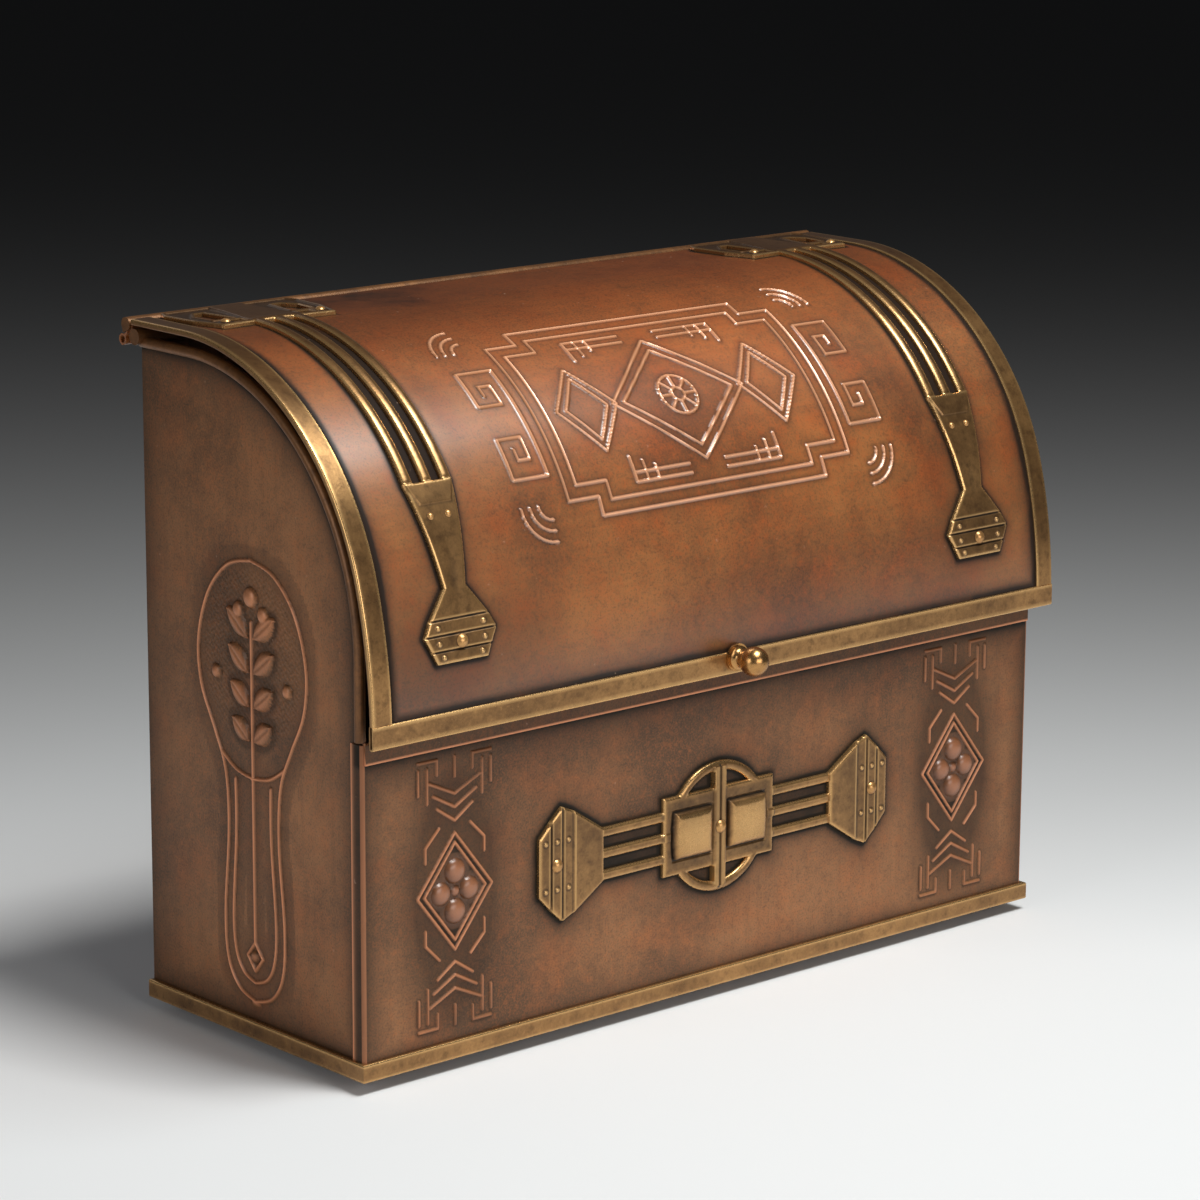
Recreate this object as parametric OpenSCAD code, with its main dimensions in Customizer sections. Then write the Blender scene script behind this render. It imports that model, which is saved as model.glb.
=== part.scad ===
// Wall mounted letterbox of copper sheet with brass fittings.
// The row frame: +X to the right along the front, +Y towards the wall, +Z up.
// The origin is the centre of the rim that the box stands on.

/* [Box] */
// Width across the two side panels
body_w = 372; // [330:1:420]
// Depth from the front panel to the back panel
body_d = 141; // [130:1:155]
// Height of the front panel's top edge
front_h = 137; // [115:1:165]
// Height of the round shoulder's centre above that edge
crown_up = 31; // [29:1:50]
// Distance of that centre in front of the back panel
crown_back = 32; // [28:1:40]
// Thickness of the copper sheet
sheet_t = 1; // [0.8:0.1:1.2]
// Height of the walls' lower edges above the rim's underside
wall_foot = 1; // [0.5:0.5:2]
// Height of the floor panel's upper face above the rim's underside
floor_z = 7; // [5:0.5:12]
// Width of the flanges turned in along the side panels' rear edges
rear_flange = 9; // [6:1:14]

/* [Front panel] */
// Width of the flanges folded back over the side panels
flange_w = 7; // [5:0.5:10]
// Outside radius of the two front bends
bend_r = 1.6; // [1.4:0.1:3]
// Height of the hem folded over outside the top edge
hem_h = 9; // [6:0.5:14]
// Distance from each end of the hem to the corner of the box
hem_end = 1.2; // [0.8:0.1:4]

/* [Base moulding and beads] */
// Height of the brass moulding around the foot
moulding_h = 7.5; // [6:0.5:12]
// How far the moulding stands proud of the front panel
moulding_t = 1.8; // [1.2:0.1:4]
// Radius of the moulding's rounded outer edges
moulding_r = 0.7; // [0.3:0.1:0.8]
// Width of the half-round bead on each side panel's curved edge
bead_w = 4.5; // [3:0.1:6]
// Diameter of the brass rod along the back panel's top edge
rod_d = 6.6; // [5:0.1:8]

/* [Lid] */
// How far the lid passes the front panel's bends on each side
lid_over = 3; // [2:0.5:8]
// Clear gap between the side panels' curved edges and the lid
lid_clear = 4.4; // [3.8:0.1:6]
// How far the lid's lower edge hangs below the front panel's top
lid_lap = 0.6; // [0:0.2:6]
// How much larger the radius of the lid's flatter skirt is than its crown's
skirt_extra = 100; // [80:1:105]
// Thickness of the brass edging
trim_t = 0.8; // [0.6:0.1:1.2]
// Width of the brass edging
trim_w = 9.5; // [7:0.5:12]
// Radius of the drop-shaped bar along the lid's rear edge
bar_r = 2.8; // [2.4:0.1:3.2]

/* [Hinge] */
// Outside radius of the rolled knuckles
knuckle_r = 2.4; // [2.2:0.1:2.6]
// Radius of the hinge pin
pin_r = 1.45; // [1.2:0.05:1.5]
// Distance of the hinge axis behind the back panel
hinge_back = 7.5; // [7:0.1:9]
// Distance of the hinge axis below the rod's centre
hinge_drop = 1.8; // [1.2:0.1:2.4]
// Number of knuckles on the lid
lid_knuckles = 5; // [3:1:7]
// Length of the leaf that holds the body's knuckles
leaf_h = 14; // [10:1:20]

/* [Straps] */
// Distance of each strap's centre line from the lid's side
strap_inset = 45.5; // [40:0.5:70]
// Thickness of the straps
strap_t = 1.8; // [1.2:0.1:2.4]
// Width of the eight-sided foot
foot_w = 36; // [28:1:40]
// Width at the waist above the foot
waist_w = 11; // [8:0.5:14]
// Width across the three prongs
fork_w = 24; // [20:0.5:28]
// Width of each slot between the prongs
slot_w = 4.8; // [3:0.2:6]
// Width across the horns at the rear
horn_w = 68; // [62:1:70]

/* [Front mount] */
// Height of the mount's centre line
mount_z = 69.5; // [60:0.5:80]
// Overall length
mount_w = 196.5; // [180:0.5:215]
// Thickness of its plates
mount_t = 2; // [1.4:0.1:3]
// Outside radius of the ring
ring_r = 27.8; // [25:0.1:30]
// Width of the ring's band
ring_band = 4; // [3:0.1:6]
// Height of the two end plates
end_h = 48; // [40:1:54]
// Height of the centre plate
plate_h = 33.6; // [30:0.2:38]
// Width of the centre plate
plate_w = 62; // [56:1:70]
// Side of the two domed pads
pad_w = 20.6; // [16:0.2:22]
// How far the pads rise above the plate
pad_rise = 2.2; // [1:0.1:3]

/* [Knob] */
// Diameter of the ball
ball_d = 12.3; // [9:0.3:15]
// Distance of the ball's centre in front of the lid
ball_out = 10.6; // [10:0.2:16]
// Diameter of the turned collar
collar_d = 11.7; // [9:0.3:15]
// Height of the knob's axis above the lid's lower edge
knob_up = 7; // [6:0.5:7.5]

/* [Wall fixing] */
// Distance between the screw holes across the back
hole_pitch_x = 280; // [200:5:300]
// Distance between the upper and the lower screw holes
hole_pitch_z = 160; // [100:5:180]
// Height of the screw pattern's centre
hole_z = 150; // [130:5:160]
// Radius of the screw holes
hole_r = 2.6; // [2:0.1:3.5]
// Length of the tubes that keep the box off the wall
spacer_len = 23.5; // [20:0.5:30]
// Outside radius of those tubes
spacer_r = 5; // [4.5:0.1:8]

/* [Hidden] */
$fn = 96;
// Clearances and small fixed sizes
seat_gap = 0.05;          // between curved faces that seat on each other
pin_clear = 0.05;         // running clearance round the hinge pin
knuckle_gap = 0.4;        // between neighbouring knuckles
stop_gap = 0.3;           // between the closed lid's tail and the rod that stops it
tail_rise = 2.2;          // how far the lid's tail stands above its flat
washer_gap = 0.15;        // between the knob's washer and the lid's slightly curved inner face
rivet_clear = 0.1;        // round a rivet's or stud's shank
over = 1;                 // how far a cutter passes the solid it cuts
key_share = 0.5;          // thickness of the key inside a curved layer's joint, as a share of the layer
key_len = 1;
corner_notch = 3;         // cut-outs at the floor panel's corners
front_y = -body_d / 2;
back_y = body_d / 2;
side_x = body_w / 2;                // outer face of a side panel
front_x = side_x + sheet_t;         // outer face of a front flange

// The side panels' curved edge is tangent to the front panel's plane
crown_y = back_y - crown_back;
crown_z = front_h + crown_up;
shoulder_r = body_d - crown_back;
rod_r = rod_d / 2;
rod_y = back_y - sheet_t / 2;
rod_z = crown_z + shoulder_r;

// Lid profile, given by the outer face of its sheet
lid_w = 2 * (front_x + lid_over);
lid_r = shoulder_r + lid_clear + trim_t + sheet_t;
lid_edge_z = front_h - lid_lap;
// The crown's arc meets the skirt's where a slope of 7 in 24 leads out from the crown's centre
blend_y = 24 / 25;
blend_z = 7 / 25;
blend_deg = atan2(blend_z, blend_y);
skirt_r = lid_r + skirt_extra;
skirt_y = crown_y + skirt_extra * blend_y;
skirt_z = crown_z - skirt_extra * blend_z;
lid_front_y = skirt_y - skirt_r;
lid_top_z = crown_z + lid_r;
// Distances along the sheet from its lower edge to where the skirt, the crown and the flat begin
s_skirt = skirt_z - lid_edge_z;
s_crown = s_skirt + skirt_r * blend_deg * PI / 180;
s_flat = s_crown + lid_r * (90 - blend_deg) * PI / 180;

// Hinge axis, and the drop-shaped bar that the lid's sheet is rolled round
hinge_y = back_y + hinge_back;
hinge_z = rod_z - hinge_drop;
knuckle_bore = pin_r + pin_clear;
knuckle_mid = (knuckle_r + knuckle_bore) / 2;
tail_r = bar_r + seat_gap + sheet_t;
bar_z = lid_top_z + tail_rise - tail_r;
bar_y = rod_y + sqrt(pow(rod_r + stop_gap + tail_r, 2) - pow(bar_z - rod_z, 2));
tip_in = 0.4;             // the bar's point: in front of the hinge axis and above the knuckles
tip_rise = 0.36;
tip_y = hinge_y - tip_in;
tip_z = hinge_z + knuckle_r + tip_rise;
tip_dist = norm([tip_y - bar_y, tip_z - bar_z]);
tip_dir = atan2(tip_z - bar_z, tip_y - bar_y);
tip_half = acos(bar_r / tip_dist);
lid_rear_y = bar_y - tail_r;
knuckles = 2 * lid_knuckles - 1;
knuckle_len = lid_w / knuckles;
pin_inset = 3;            // how far the pin's ends lie inside the tube's ends
leaf_join = [250, 205];   // where the leaf's fingers run into the tube, as angles round its axis
tail_join = [150, 105];   // and where the lid's do
tail_from = 150;          // where the lid's sheet starts to wrap round the bar

// Rivets: head, shank and tail
big_head = 2.7;
mid_head = 2.2;
small_head = 1.5;
shank_r = 1;
tail_h = 0.6;
tail_head = 1.8;

// Straps, by distance along the lid's sheet from its lower edge
s_foot = 28.6;
s_outer_groove = 33.3;
s_wide = 39.5;
s_inner_groove = 45.4;
s_waist = 57.5;
s_step = 90.3;
s_shoulder = 99.4;
groove_w = 0.7;
groove_deep = 0.6;
dot_r = 1.1;              // the small raised dots
dot_inset = 5;            // distance of a strap's dots inside its foot's corners
pad_t = 0.5;              // height of the raised pad over the shoulder
strap_x = lid_w / 2 - strap_inset;
horn_front = crown_y - 4.5; // front end of the horns
horn_rear = lid_rear_y - 0.3;
horn_mid = (horn_front + horn_rear) / 2;
horn_rivet = horn_w / 2 - 10.3;
horn_bar = 3.4;           // depth of the bars in front of and behind the horns' front windows
window_in = fork_w / 2 + 2;

// Front mount, by distance from its centre
band_w = 6.1;             // width of each of an end plate's three bands
taper_len = 15.9;         // from the innermost band to the neck
end_groove_out = mount_w / 2 - band_w;
end_wide = mount_w / 2 - 2 * band_w;
end_step = mount_w / 2 - 3 * band_w;
neck_x = end_step - taper_len;
outer_drop = 5.6;         // how far the end plate's outline falls from its widest place to the grooves
inner_drop = 2.6;
neck_h = 22;
end_edge_h = 24;
mount_bar_h = 3.8;
rib_w = 3;
rib_gap = 0.8;
rib_rise = 0.8;           // how far the ribs stand above the plate
pad_inset = 1.4;          // between a rib and its pad
end_outer = mount_w / 2 - 0.5 * band_w; // middles of the three bands
end_mid = mount_w / 2 - 1.5 * band_w;
end_inner = mount_w / 2 - 2.5 * band_w;
dot_up = 10;              // the end plates' dots above and below the centre line

knob_z = lid_edge_z + knob_up;
knob_face_y = lid_front_y - trim_t;
rim_t = 1;                // thickness of the knob's rim and of the smaller ring in front of it
ring_t = 0.8;
ring_inset = 0.9;
stud_r = 1.5;
stud_end = 1;             // how far the stud passes its nut
nut_r = 3.2;
nut_t = 2.4;
washer_r = 3.6;
washer_t = 0.8;

copper = [0.50, 0.31, 0.20];
lid_copper = [0.56, 0.32, 0.18];
brass = [0.66, 0.50, 0.27];
steel = [0.55, 0.55, 0.55];

// ---- Helpers ----

// Extrudes a shape drawn in Y and Z along X, from x0 to x1
module along_x(x0, x1) {
    translate([x0, 0, 0])
        rotate([90, 0, 90])
            linear_extrude(x1 - x0)
                children();
}

// Turns a shape drawn in radius and X about an axis along X
module round_x(y, z, from, to) {
    translate([0, y, z])
        rotate([90, 0, 90])
            rotate_extrude(angle = to - from, start = from)
                children();
}

// A rectangle from its corners
module span(y0, y1, z0, z1) {
    polygon([[y0, z0], [y1, z0], [y1, z1], [y0, z1]]);
}

module ring(r_in, r_out) {
    difference() {
        circle(r_out);
        circle(r_in);
    }
}

// A wedge from the origin between two directions less than 180 degrees apart
module wedge(from, to, reach) {
    mid = (from + to) / 2;
    polygon([
        [0, 0],
        reach * [cos(from), sin(from)],
        2 * reach * [cos(mid), sin(mid)],
        reach * [cos(to), sin(to)]
    ]);
}

module arc_band(r_in, r_out, from, to) {
    intersection() {
        ring(r_in, r_out);
        wedge(from, to, 2 * r_out);
    }
}

// Both copies of a left-right pair
module both_sides() {
    children();
    mirror([1, 0, 0]) children();
}

// ---- The lid's curved surface ----

// Far end of the line on which the skirt's arc meets the crown's arc, well outside the lid
blend_end = [crown_y - 500 * blend_y, crown_z + 500 * blend_z];

// Layer of the lid between two distances outside the sheet's outer face.
// Neighbouring stretches are cut off along the same line, so that they meet exactly.
module lid_layer(d_in, d_out, x0, x1, z_low = lid_edge_z, y_rear = lid_rear_y) {
    along_x(x0, x1)
        span(lid_front_y - d_out, lid_front_y - d_in, z_low, skirt_z);
    along_x(x0, x1)
        intersection() {
            translate([skirt_y, skirt_z]) ring(skirt_r + d_in, skirt_r + d_out);
            polygon([[crown_y, crown_z], blend_end, [blend_end[0], skirt_z], [crown_y, skirt_z]]);
        }
    along_x(x0, x1)
        intersection() {
            translate([crown_y, crown_z]) ring(lid_r + d_in, lid_r + d_out);
            polygon([
                [crown_y, crown_z], blend_end, [blend_end[0], 2 * lid_top_z], [crown_y, 2 * lid_top_z]
            ]);
        }
    along_x(x0, x1)
        span(crown_y, y_rear, lid_top_z + d_in, lid_top_z + d_out);
    // A key inside the layer ties the two arcs together where they meet
    along_x(x0, x1)
        translate([crown_y, crown_z])
            rotate(180 - blend_deg)
                translate([lid_r + (d_in + d_out) / 2, 0])
                    square([(d_out - d_in) * key_share, key_len], center = true);
}

// Tilt of the surface, from 0 on the upright edge to 90 on the flat, at distance s along it
function tilt(s) =
    s < s_skirt ? 0 :
    s < s_crown ? (s - s_skirt) / skirt_r * 180 / PI :
    s < s_flat ? blend_deg + (s - s_crown) / lid_r * 180 / PI : 90;

// Height of the surface at distance s
function lid_z(s) =
    s < s_skirt ? lid_edge_z + s :
    s < s_crown ? skirt_z + skirt_r * sin(tilt(s)) : crown_z + lid_r * sin(tilt(s));

// Depth position of the surface at distance s
function lid_y(s) =
    s < s_skirt ? lid_front_y :
    s < s_crown ? skirt_y - skirt_r * cos(tilt(s)) :
    s < s_flat ? crown_y - lid_r * cos(tilt(s)) : crown_y + s - s_flat;

// Places children on the lid with their +Z along its outward normal
module on_lid(x, s, d = 0) {
    translate([x, lid_y(s), lid_z(s)])
        rotate([90 - tilt(s), 0, 0])
            translate([0, 0, d])
                children();
}

// A domed rivet head, or a raised dot, on the plane Z = 0
module dome(r) {
    ball = r * 1.15;
    intersection() {
        translate([0, 0, r * 0.65 - ball]) sphere(ball);
        cylinder(h = r, r = r);
    }
}

// A rivet through a stack of the given thickness below Z = 0
module rivet(head, stack) {
    dome(head);
    translate([0, 0, -stack - tail_h]) cylinder(h = stack + tail_h, r = shank_r);
    translate([0, 0, -stack - tail_h]) cylinder(h = tail_h - seat_gap, r = tail_head);
}

module rivet_hole(stack) {
    translate([0, 0, -stack - over]) cylinder(h = stack + 2 * over, r = shank_r + rivet_clear);
}

// ---- Box ----

// Outline of a side panel in Y and Z
module side_outline() {
    span(front_y + bend_r, back_y, wall_foot, crown_z);
    span(front_y, back_y, front_h, crown_z);
    span(crown_y, back_y, crown_z, rod_z);
    intersection() {
        translate([crown_y, crown_z]) circle(shoulder_r);
        span(front_y - over, crown_y, crown_z, rod_z + over);
    }
}

module rod_room() {
    along_x(-lid_w, lid_w)
        translate([rod_y, rod_z])
            circle(rod_r + seat_gap);
}

module side_panel() {
    difference() {
        along_x(side_x - sheet_t, side_x) side_outline();
        rod_room();
    }
    // Flange turned in along the rear edge, against the back panel's inner face
    flange_z = floor_z + seat_gap;
    translate([side_x - rear_flange, back_y - 2 * sheet_t, flange_z])
        cube([rear_flange, sheet_t, rod_z - rod_d - flange_z]);
}

module side_panel_left() {
    color(copper) mirror([1, 0, 0]) side_panel();
}

module side_panel_right() {
    color(copper) side_panel();
}

module back_panel() {
    inner_w = body_w - 2 * sheet_t;
    color(copper)
        difference() {
            translate([-inner_w / 2, back_y - sheet_t, wall_foot])
                cube([inner_w, sheet_t, rod_z - rod_r - wall_foot]);
            wall_holes()
                rotate([-90, 0, 0])
                    translate([0, 0, -over - sheet_t])
                        cylinder(h = sheet_t + 2 * over, r = hole_r);
        }
}

// Children at each wall screw, on the back panel's outer face
module wall_holes() {
    for (sx = [-1, 1], sz = [-1, 1])
        translate([sx * hole_pitch_x / 2, back_y, hole_z + sz * hole_pitch_z / 2])
            children();
}

module wall_spacers() {
    color(brass)
        wall_holes()
            rotate([-90, 0, 0])
                difference() {
                    cylinder(h = spacer_len, r = spacer_r);
                    translate([0, 0, -over]) cylinder(h = spacer_len + 2 * over, r = hole_r);
                }
}

// Plan of a sheet bent round the front, open to the rear
module front_plan(half_w, y, depth, r) {
    translate([-half_w + r, y]) square([2 * (half_w - r), depth]);
    translate([-half_w, y + r]) square([2 * half_w, depth - r]);
    for (sx = [-1, 1])
        translate([sx * (half_w - r), y + r]) circle(r);
}

module front_panel() {
    hem_half = front_x - hem_end;
    fold_z = front_h - sheet_t;
    color(copper) difference() {
        union() {
            difference() {
                translate([0, 0, wall_foot])
                    linear_extrude(front_h - wall_foot)
                        difference() {
                            front_plan(front_x, front_y, flange_w, bend_r);
                            front_plan(side_x, front_y + sheet_t, flange_w, bend_r - sheet_t);
                        }
                translate([-hem_half, front_y - over, fold_z])
                    cube([2 * hem_half, over + sheet_t + seat_gap, sheet_t + over]);
            }
            // The hem, folded over outside the top edge
            translate([-hem_half, front_y - sheet_t, front_h - hem_h])
                cube([2 * hem_half, sheet_t, hem_h - sheet_t]);
            along_x(-hem_half, hem_half)
                translate([front_y, fold_z])
                    intersection() {
                        circle(sheet_t);
                        span(-sheet_t - over, sheet_t + over, 0, sheet_t + over);
                    }
        }
        mount_rivet_places() rivet_hole(sheet_t + mount_t);
    }
}

// A shallow tray, upside down, with its flanges turned down inside the walls
module floor_panel() {
    w = body_w - 2 * sheet_t;
    d = body_d - 2 * sheet_t;
    // Height of the flanges, with the cutter's passing below
    flange_h = floor_z - wall_foot - sheet_t + over;
    color(copper)
        translate([-w / 2, front_y + sheet_t, wall_foot])
            difference() {
                cube([w, d, floor_z - wall_foot]);
                translate([sheet_t, sheet_t, -over])
                    cube([w - 2 * sheet_t, d - 2 * sheet_t, flange_h]);
                // Notches at the corners, where the flanges fold
                for (x = [-over, w - corner_notch], y = [-over, d - corner_notch])
                    translate([x, y, -over])
                        cube([corner_notch + over, corner_notch + over, flange_h]);
            }
}

// Upright slab with rounded edges on its far side, drawn in distance outwards and height
module moulding_section(inside, outside) {
    translate([-inside, 0]) square([inside + outside - moulding_r, moulding_h]);
    translate([-inside, moulding_r]) square([inside + outside, moulding_h - 2 * moulding_r]);
    for (z = [moulding_r, moulding_h - moulding_r])
        translate([outside - moulding_r, z]) circle(moulding_r);
}

module base_moulding() {
    t_side = moulding_t + sheet_t;
    color(brass) difference() {
        // Two rounded slabs cross, which mitres the front corners
        intersection() {
            along_x(-front_x - over - moulding_t, front_x + over + moulding_t)
                translate([front_y, 0])
                    mirror([1, 0]) moulding_section(body_d, moulding_t);
            translate([0, back_y, 0])
                rotate([90, 0, 0])
                    linear_extrude(body_d + moulding_t + over) {
                        translate([side_x, 0]) moulding_section(side_x, t_side);
                        mirror([1, 0]) translate([side_x, 0]) moulding_section(side_x, t_side);
                    }
        }
        // Room for the front panel and its flanges, and for the side panels behind them
        translate([0, 0, -over])
            linear_extrude(moulding_h + 2 * over) {
                front_plan(front_x, front_y, flange_w, bend_r);
                translate([-side_x, front_y + bend_r]) square([body_w, body_d]);
            }
    }
}

module rear_rod() {
    color(brass)
        along_x(-lid_w / 2, lid_w / 2)
            translate([rod_y, rod_z])
                circle(rod_r);
}

// Half-round section, drawn with its flat on the second axis
module half_round(w) {
    intersection() {
        circle(w / 2);
        translate([-w, 0]) square(2 * w);
    }
}

module side_bead() {
    path_r = shoulder_r - bead_w / 2;
    difference() {
        translate([side_x, 0, 0]) {
            round_x(crown_y, crown_z, 90, 180)
                translate([path_r, 0]) half_round(bead_w);
            // Upright stretch down to the front flange
            translate([0, crown_y - path_r, crown_z])
                mirror([0, 0, 1])
                    linear_extrude(crown_z - front_h - seat_gap)
                        rotate(-90) half_round(bead_w);
            // Level stretch back to the rod
            translate([0, crown_y, crown_z + path_r])
                rotate([-90, 0, 0])
                    linear_extrude(rod_y - crown_y)
                        rotate(-90) half_round(bead_w);
        }
        rod_room();
    }
}

module side_bead_left() {
    color(brass) mirror([1, 0, 0]) side_bead();
}

module side_bead_right() {
    color(brass) side_bead();
}

// ---- Hinge ----

// Children at each knuckle that has the given parity: 0 for the lid's, 1 for the body's
module knuckle_spans(parity) {
    for (i = [parity : 2 : knuckles - 1]) {
        x0 = -lid_w / 2 + i * knuckle_len + (i == 0 ? 0 : knuckle_gap / 2);
        x1 = -lid_w / 2 + (i + 1) * knuckle_len - (i == knuckles - 1 ? 0 : knuckle_gap / 2);
        along_x(x0, x1) children();
    }
}

module knuckle_ring() {
    translate([hinge_y, hinge_z])
        difference() {
            circle(knuckle_r);
            circle(knuckle_bore);
        }
}

function on_knuckle(a) = [hinge_y, hinge_z] + knuckle_mid * [cos(a), sin(a)];

module hinge_leaf() {
    half = side_x - sheet_t;
    leaf_top = hinge_z - 3 * knuckle_r;
    color(brass) {
        along_x(-half, half)
            translate([back_y, leaf_top - leaf_h])
                square([sheet_t, leaf_h]);
        knuckle_spans(1) {
            knuckle_ring();
            polygon([
                [back_y, leaf_top - over], [back_y + sheet_t, leaf_top - over],
                on_knuckle(leaf_join[0]), on_knuckle(leaf_join[1])
            ]);
        }
    }
}

module hinge_pin() {
    color(steel)
        along_x(-lid_w / 2 + pin_inset, lid_w / 2 - pin_inset)
            translate([hinge_y, hinge_z])
                circle(pin_r);
}

// ---- Lid ----

function on_bar(a, d) = [bar_y, bar_z] + (bar_r + d) * [cos(a), sin(a)];

module lid_panel() {
    half = lid_w / 2 - trim_t - seat_gap;
    front_dir = 360 + tip_dir - tip_half;
    color(lid_copper) difference() {
        union() {
            lid_layer(-sheet_t, 0, -half, half, lid_edge_z + trim_t + seat_gap, lid_rear_y + sheet_t);
            // The tail, rolled down the front of the bar
            along_x(-half, half)
                translate([bar_y, bar_z])
                    arc_band(tail_r - sheet_t, tail_r, tail_from, front_dir);
            knuckle_spans(0) {
                knuckle_ring();
                polygon([
                    on_bar(front_dir - 1, seat_gap), on_bar(front_dir - 1, seat_gap + sheet_t),
                    on_knuckle(tail_join[0]), on_knuckle(tail_join[1])
                ]);
            }
        }
        strap_rivet_places() rivet_hole(strap_t + sheet_t);
        knob_hole();
    }
}

// The bar's section is a circle drawn out to a point above the knuckles
module lid_rear_bar() {
    color(brass)
        along_x(-lid_w / 2, lid_w / 2) {
            translate([bar_y, bar_z]) circle(bar_r);
            polygon([
                [bar_y, bar_z], on_bar(tip_dir - tip_half, 0), [tip_y, tip_z], on_bar(tip_dir + tip_half, 0)
            ]);
        }
}

// The block that holds the edging's front strip
module trim_front_room() {
    translate([-lid_w, lid_front_y - 2 * trim_w, lid_edge_z - over])
        cube([2 * lid_w, 4 * trim_w, trim_w + over]);
}

// Folded edging on the right-hand edge: outer face, edge and inner return
module side_trim() {
    x_out = lid_w / 2;
    difference() {
        lid_layer(-sheet_t - trim_t, trim_t, x_out - trim_w, x_out, lid_edge_z);
        lid_layer(-sheet_t, 0, x_out - trim_w - over, x_out - trim_t, lid_edge_z - over, lid_rear_y + over);
        // The front strip has the corner
        trim_front_room();
    }
}

module lid_trim_left() {
    color(brass) mirror([1, 0, 0]) side_trim();
}

module lid_trim_right() {
    color(brass) side_trim();
}

module lid_trim_front() {
    x_out = lid_w / 2;
    color(brass) difference() {
        intersection() {
            lid_layer(-sheet_t - trim_t, trim_t, -x_out, x_out);
            trim_front_room();
        }
        lid_layer(-sheet_t, 0, -x_out + trim_t, x_out - trim_t, lid_edge_z + trim_t);
        knob_hole();
    }
}

// ---- Straps ----

// Half outline of the strap's foot and blade in X and distance s
foot_points = [
    [foot_w / 2 - 5.4, s_foot], [foot_w / 2 - 3.2, s_outer_groove], [foot_w / 2, s_wide],
    [foot_w / 2 - 3.2, s_inner_groove], [waist_w / 2, s_waist], [fork_w / 2, s_shoulder]
];

// A closed outline, symmetrical about x = 0, from its right half, raised onto the lid
module lid_prism(points) {
    mirrored = [for (i = [len(points) - 1 : -1 : 0]) [-points[i][0], points[i][1]]];
    outline = concat(points, mirrored);
    translate([0, crown_y, 0])
        rotate([90, 0, 0])
            linear_extrude(2 * lid_r)
                polygon([for (p = outline) [p[0], lid_z(p[1])]]);
}

// Half outline of the horns in X and Y
horn_points = [
    [fork_w / 2, horn_front], [horn_w / 2 - 6, horn_front - 1], [horn_w / 2 - 1.5, horn_mid - 5],
    [horn_w / 2, horn_rear - 6], [horn_w / 2 - 3, horn_rear]
];

// Windows through the right-hand horn: a slot behind the front bar, and a wider one behind it
horn_windows = [
    [
        [window_in, horn_front + horn_bar], [horn_rivet - 3.6, horn_front + horn_bar],
        [horn_rivet - 3.6, horn_front + 2 * horn_bar + 0.8], [window_in, horn_front + 2 * horn_bar + 0.8]
    ],
    [
        [window_in + 1, horn_front + 3 * horn_bar + 0.8], [horn_rivet + 1, horn_front + 3 * horn_bar + 0.8],
        [horn_rivet + 2, horn_mid + 3], [horn_rivet - 2, horn_rear - 10], [window_in + 3.5, horn_rear - 10]
    ]
];

// Raises an outline in X and Y, and its mirror image, from the crown's height upwards
module above_crown(points) {
    translate([0, 0, crown_z])
        linear_extrude(2 * lid_r)
            both_sides() polygon(points);
}

module strap() {
    prong_w = (fork_w - 2 * slot_w) / 3;
    difference() {
        intersection() {
            lid_layer(seat_gap, strap_t, -horn_w, horn_w, lid_edge_z, horn_rear);
            union() {
                lid_prism(foot_points);
                // Prongs, from the shoulder to the horns
                for (i = [-1, 0, 1])
                    translate([i * (prong_w + slot_w) - prong_w / 2, -body_d, lid_z(s_shoulder) - over])
                        cube([prong_w, body_d + crown_y, lid_top_z]);
                above_crown(concat([[0, horn_front]], horn_points, [[0, horn_rear]]));
            }
        }
        for (window = horn_windows)
            above_crown(window);
        // Grooves between the foot's three bands
        for (s = [s_outer_groove, s_wide, s_inner_groove])
            on_lid(0, s, strap_t)
                cube([2 * foot_w, groove_w, 2 * groove_deep], center = true);
    }
    // Raised pad over the blade's shoulder
    intersection() {
        lid_layer(strap_t, strap_t + pad_t, -fork_w, fork_w);
        lid_prism([[fork_w / 2 - 4.2, s_step], [fork_w / 2, s_shoulder]]);
    }
    for (i = [1 : 3], sx = [-1, 1]) {
        s_dot = (foot_points[i - 1][1] + foot_points[i][1]) / 2;
        on_lid(sx * (foot_points[i][0] - dot_inset), s_dot, strap_t - seat_gap)
            dome(dot_r);
    }
}

module strap_with_holes(side) {
    difference() {
        translate([side * strap_x, 0, 0]) strap();
        strap_rivet_places() rivet_hole(strap_t + sheet_t);
    }
}

module strap_left() {
    color(brass) strap_with_holes(-1);
}

module strap_right() {
    color(brass) strap_with_holes(1);
}

// Rivets of one strap: x from its centre, distance s and head radius
strap_rivet_list = [
    [0, (s_outer_groove + s_wide) / 2, big_head],
    [-4.4, 85.4, small_head], [4.4, 85.4, small_head],
    [-horn_rivet, s_flat - 0.5, mid_head], [horn_rivet, s_flat - 0.5, mid_head]
];

// Children on the straps' outer faces, on every rivet's axis
module strap_rivet_places() {
    for (side = [-1, 1], r = strap_rivet_list)
        on_lid(side * strap_x + r[0], r[1], strap_t + seat_gap) children();
}

module strap_rivets() {
    color(brass)
        for (side = [-1, 1], r = strap_rivet_list)
            on_lid(side * strap_x + r[0], r[1], strap_t + seat_gap)
                rivet(r[2], strap_t + sheet_t + 2 * seat_gap);
}

// ---- Front mount ----

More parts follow.
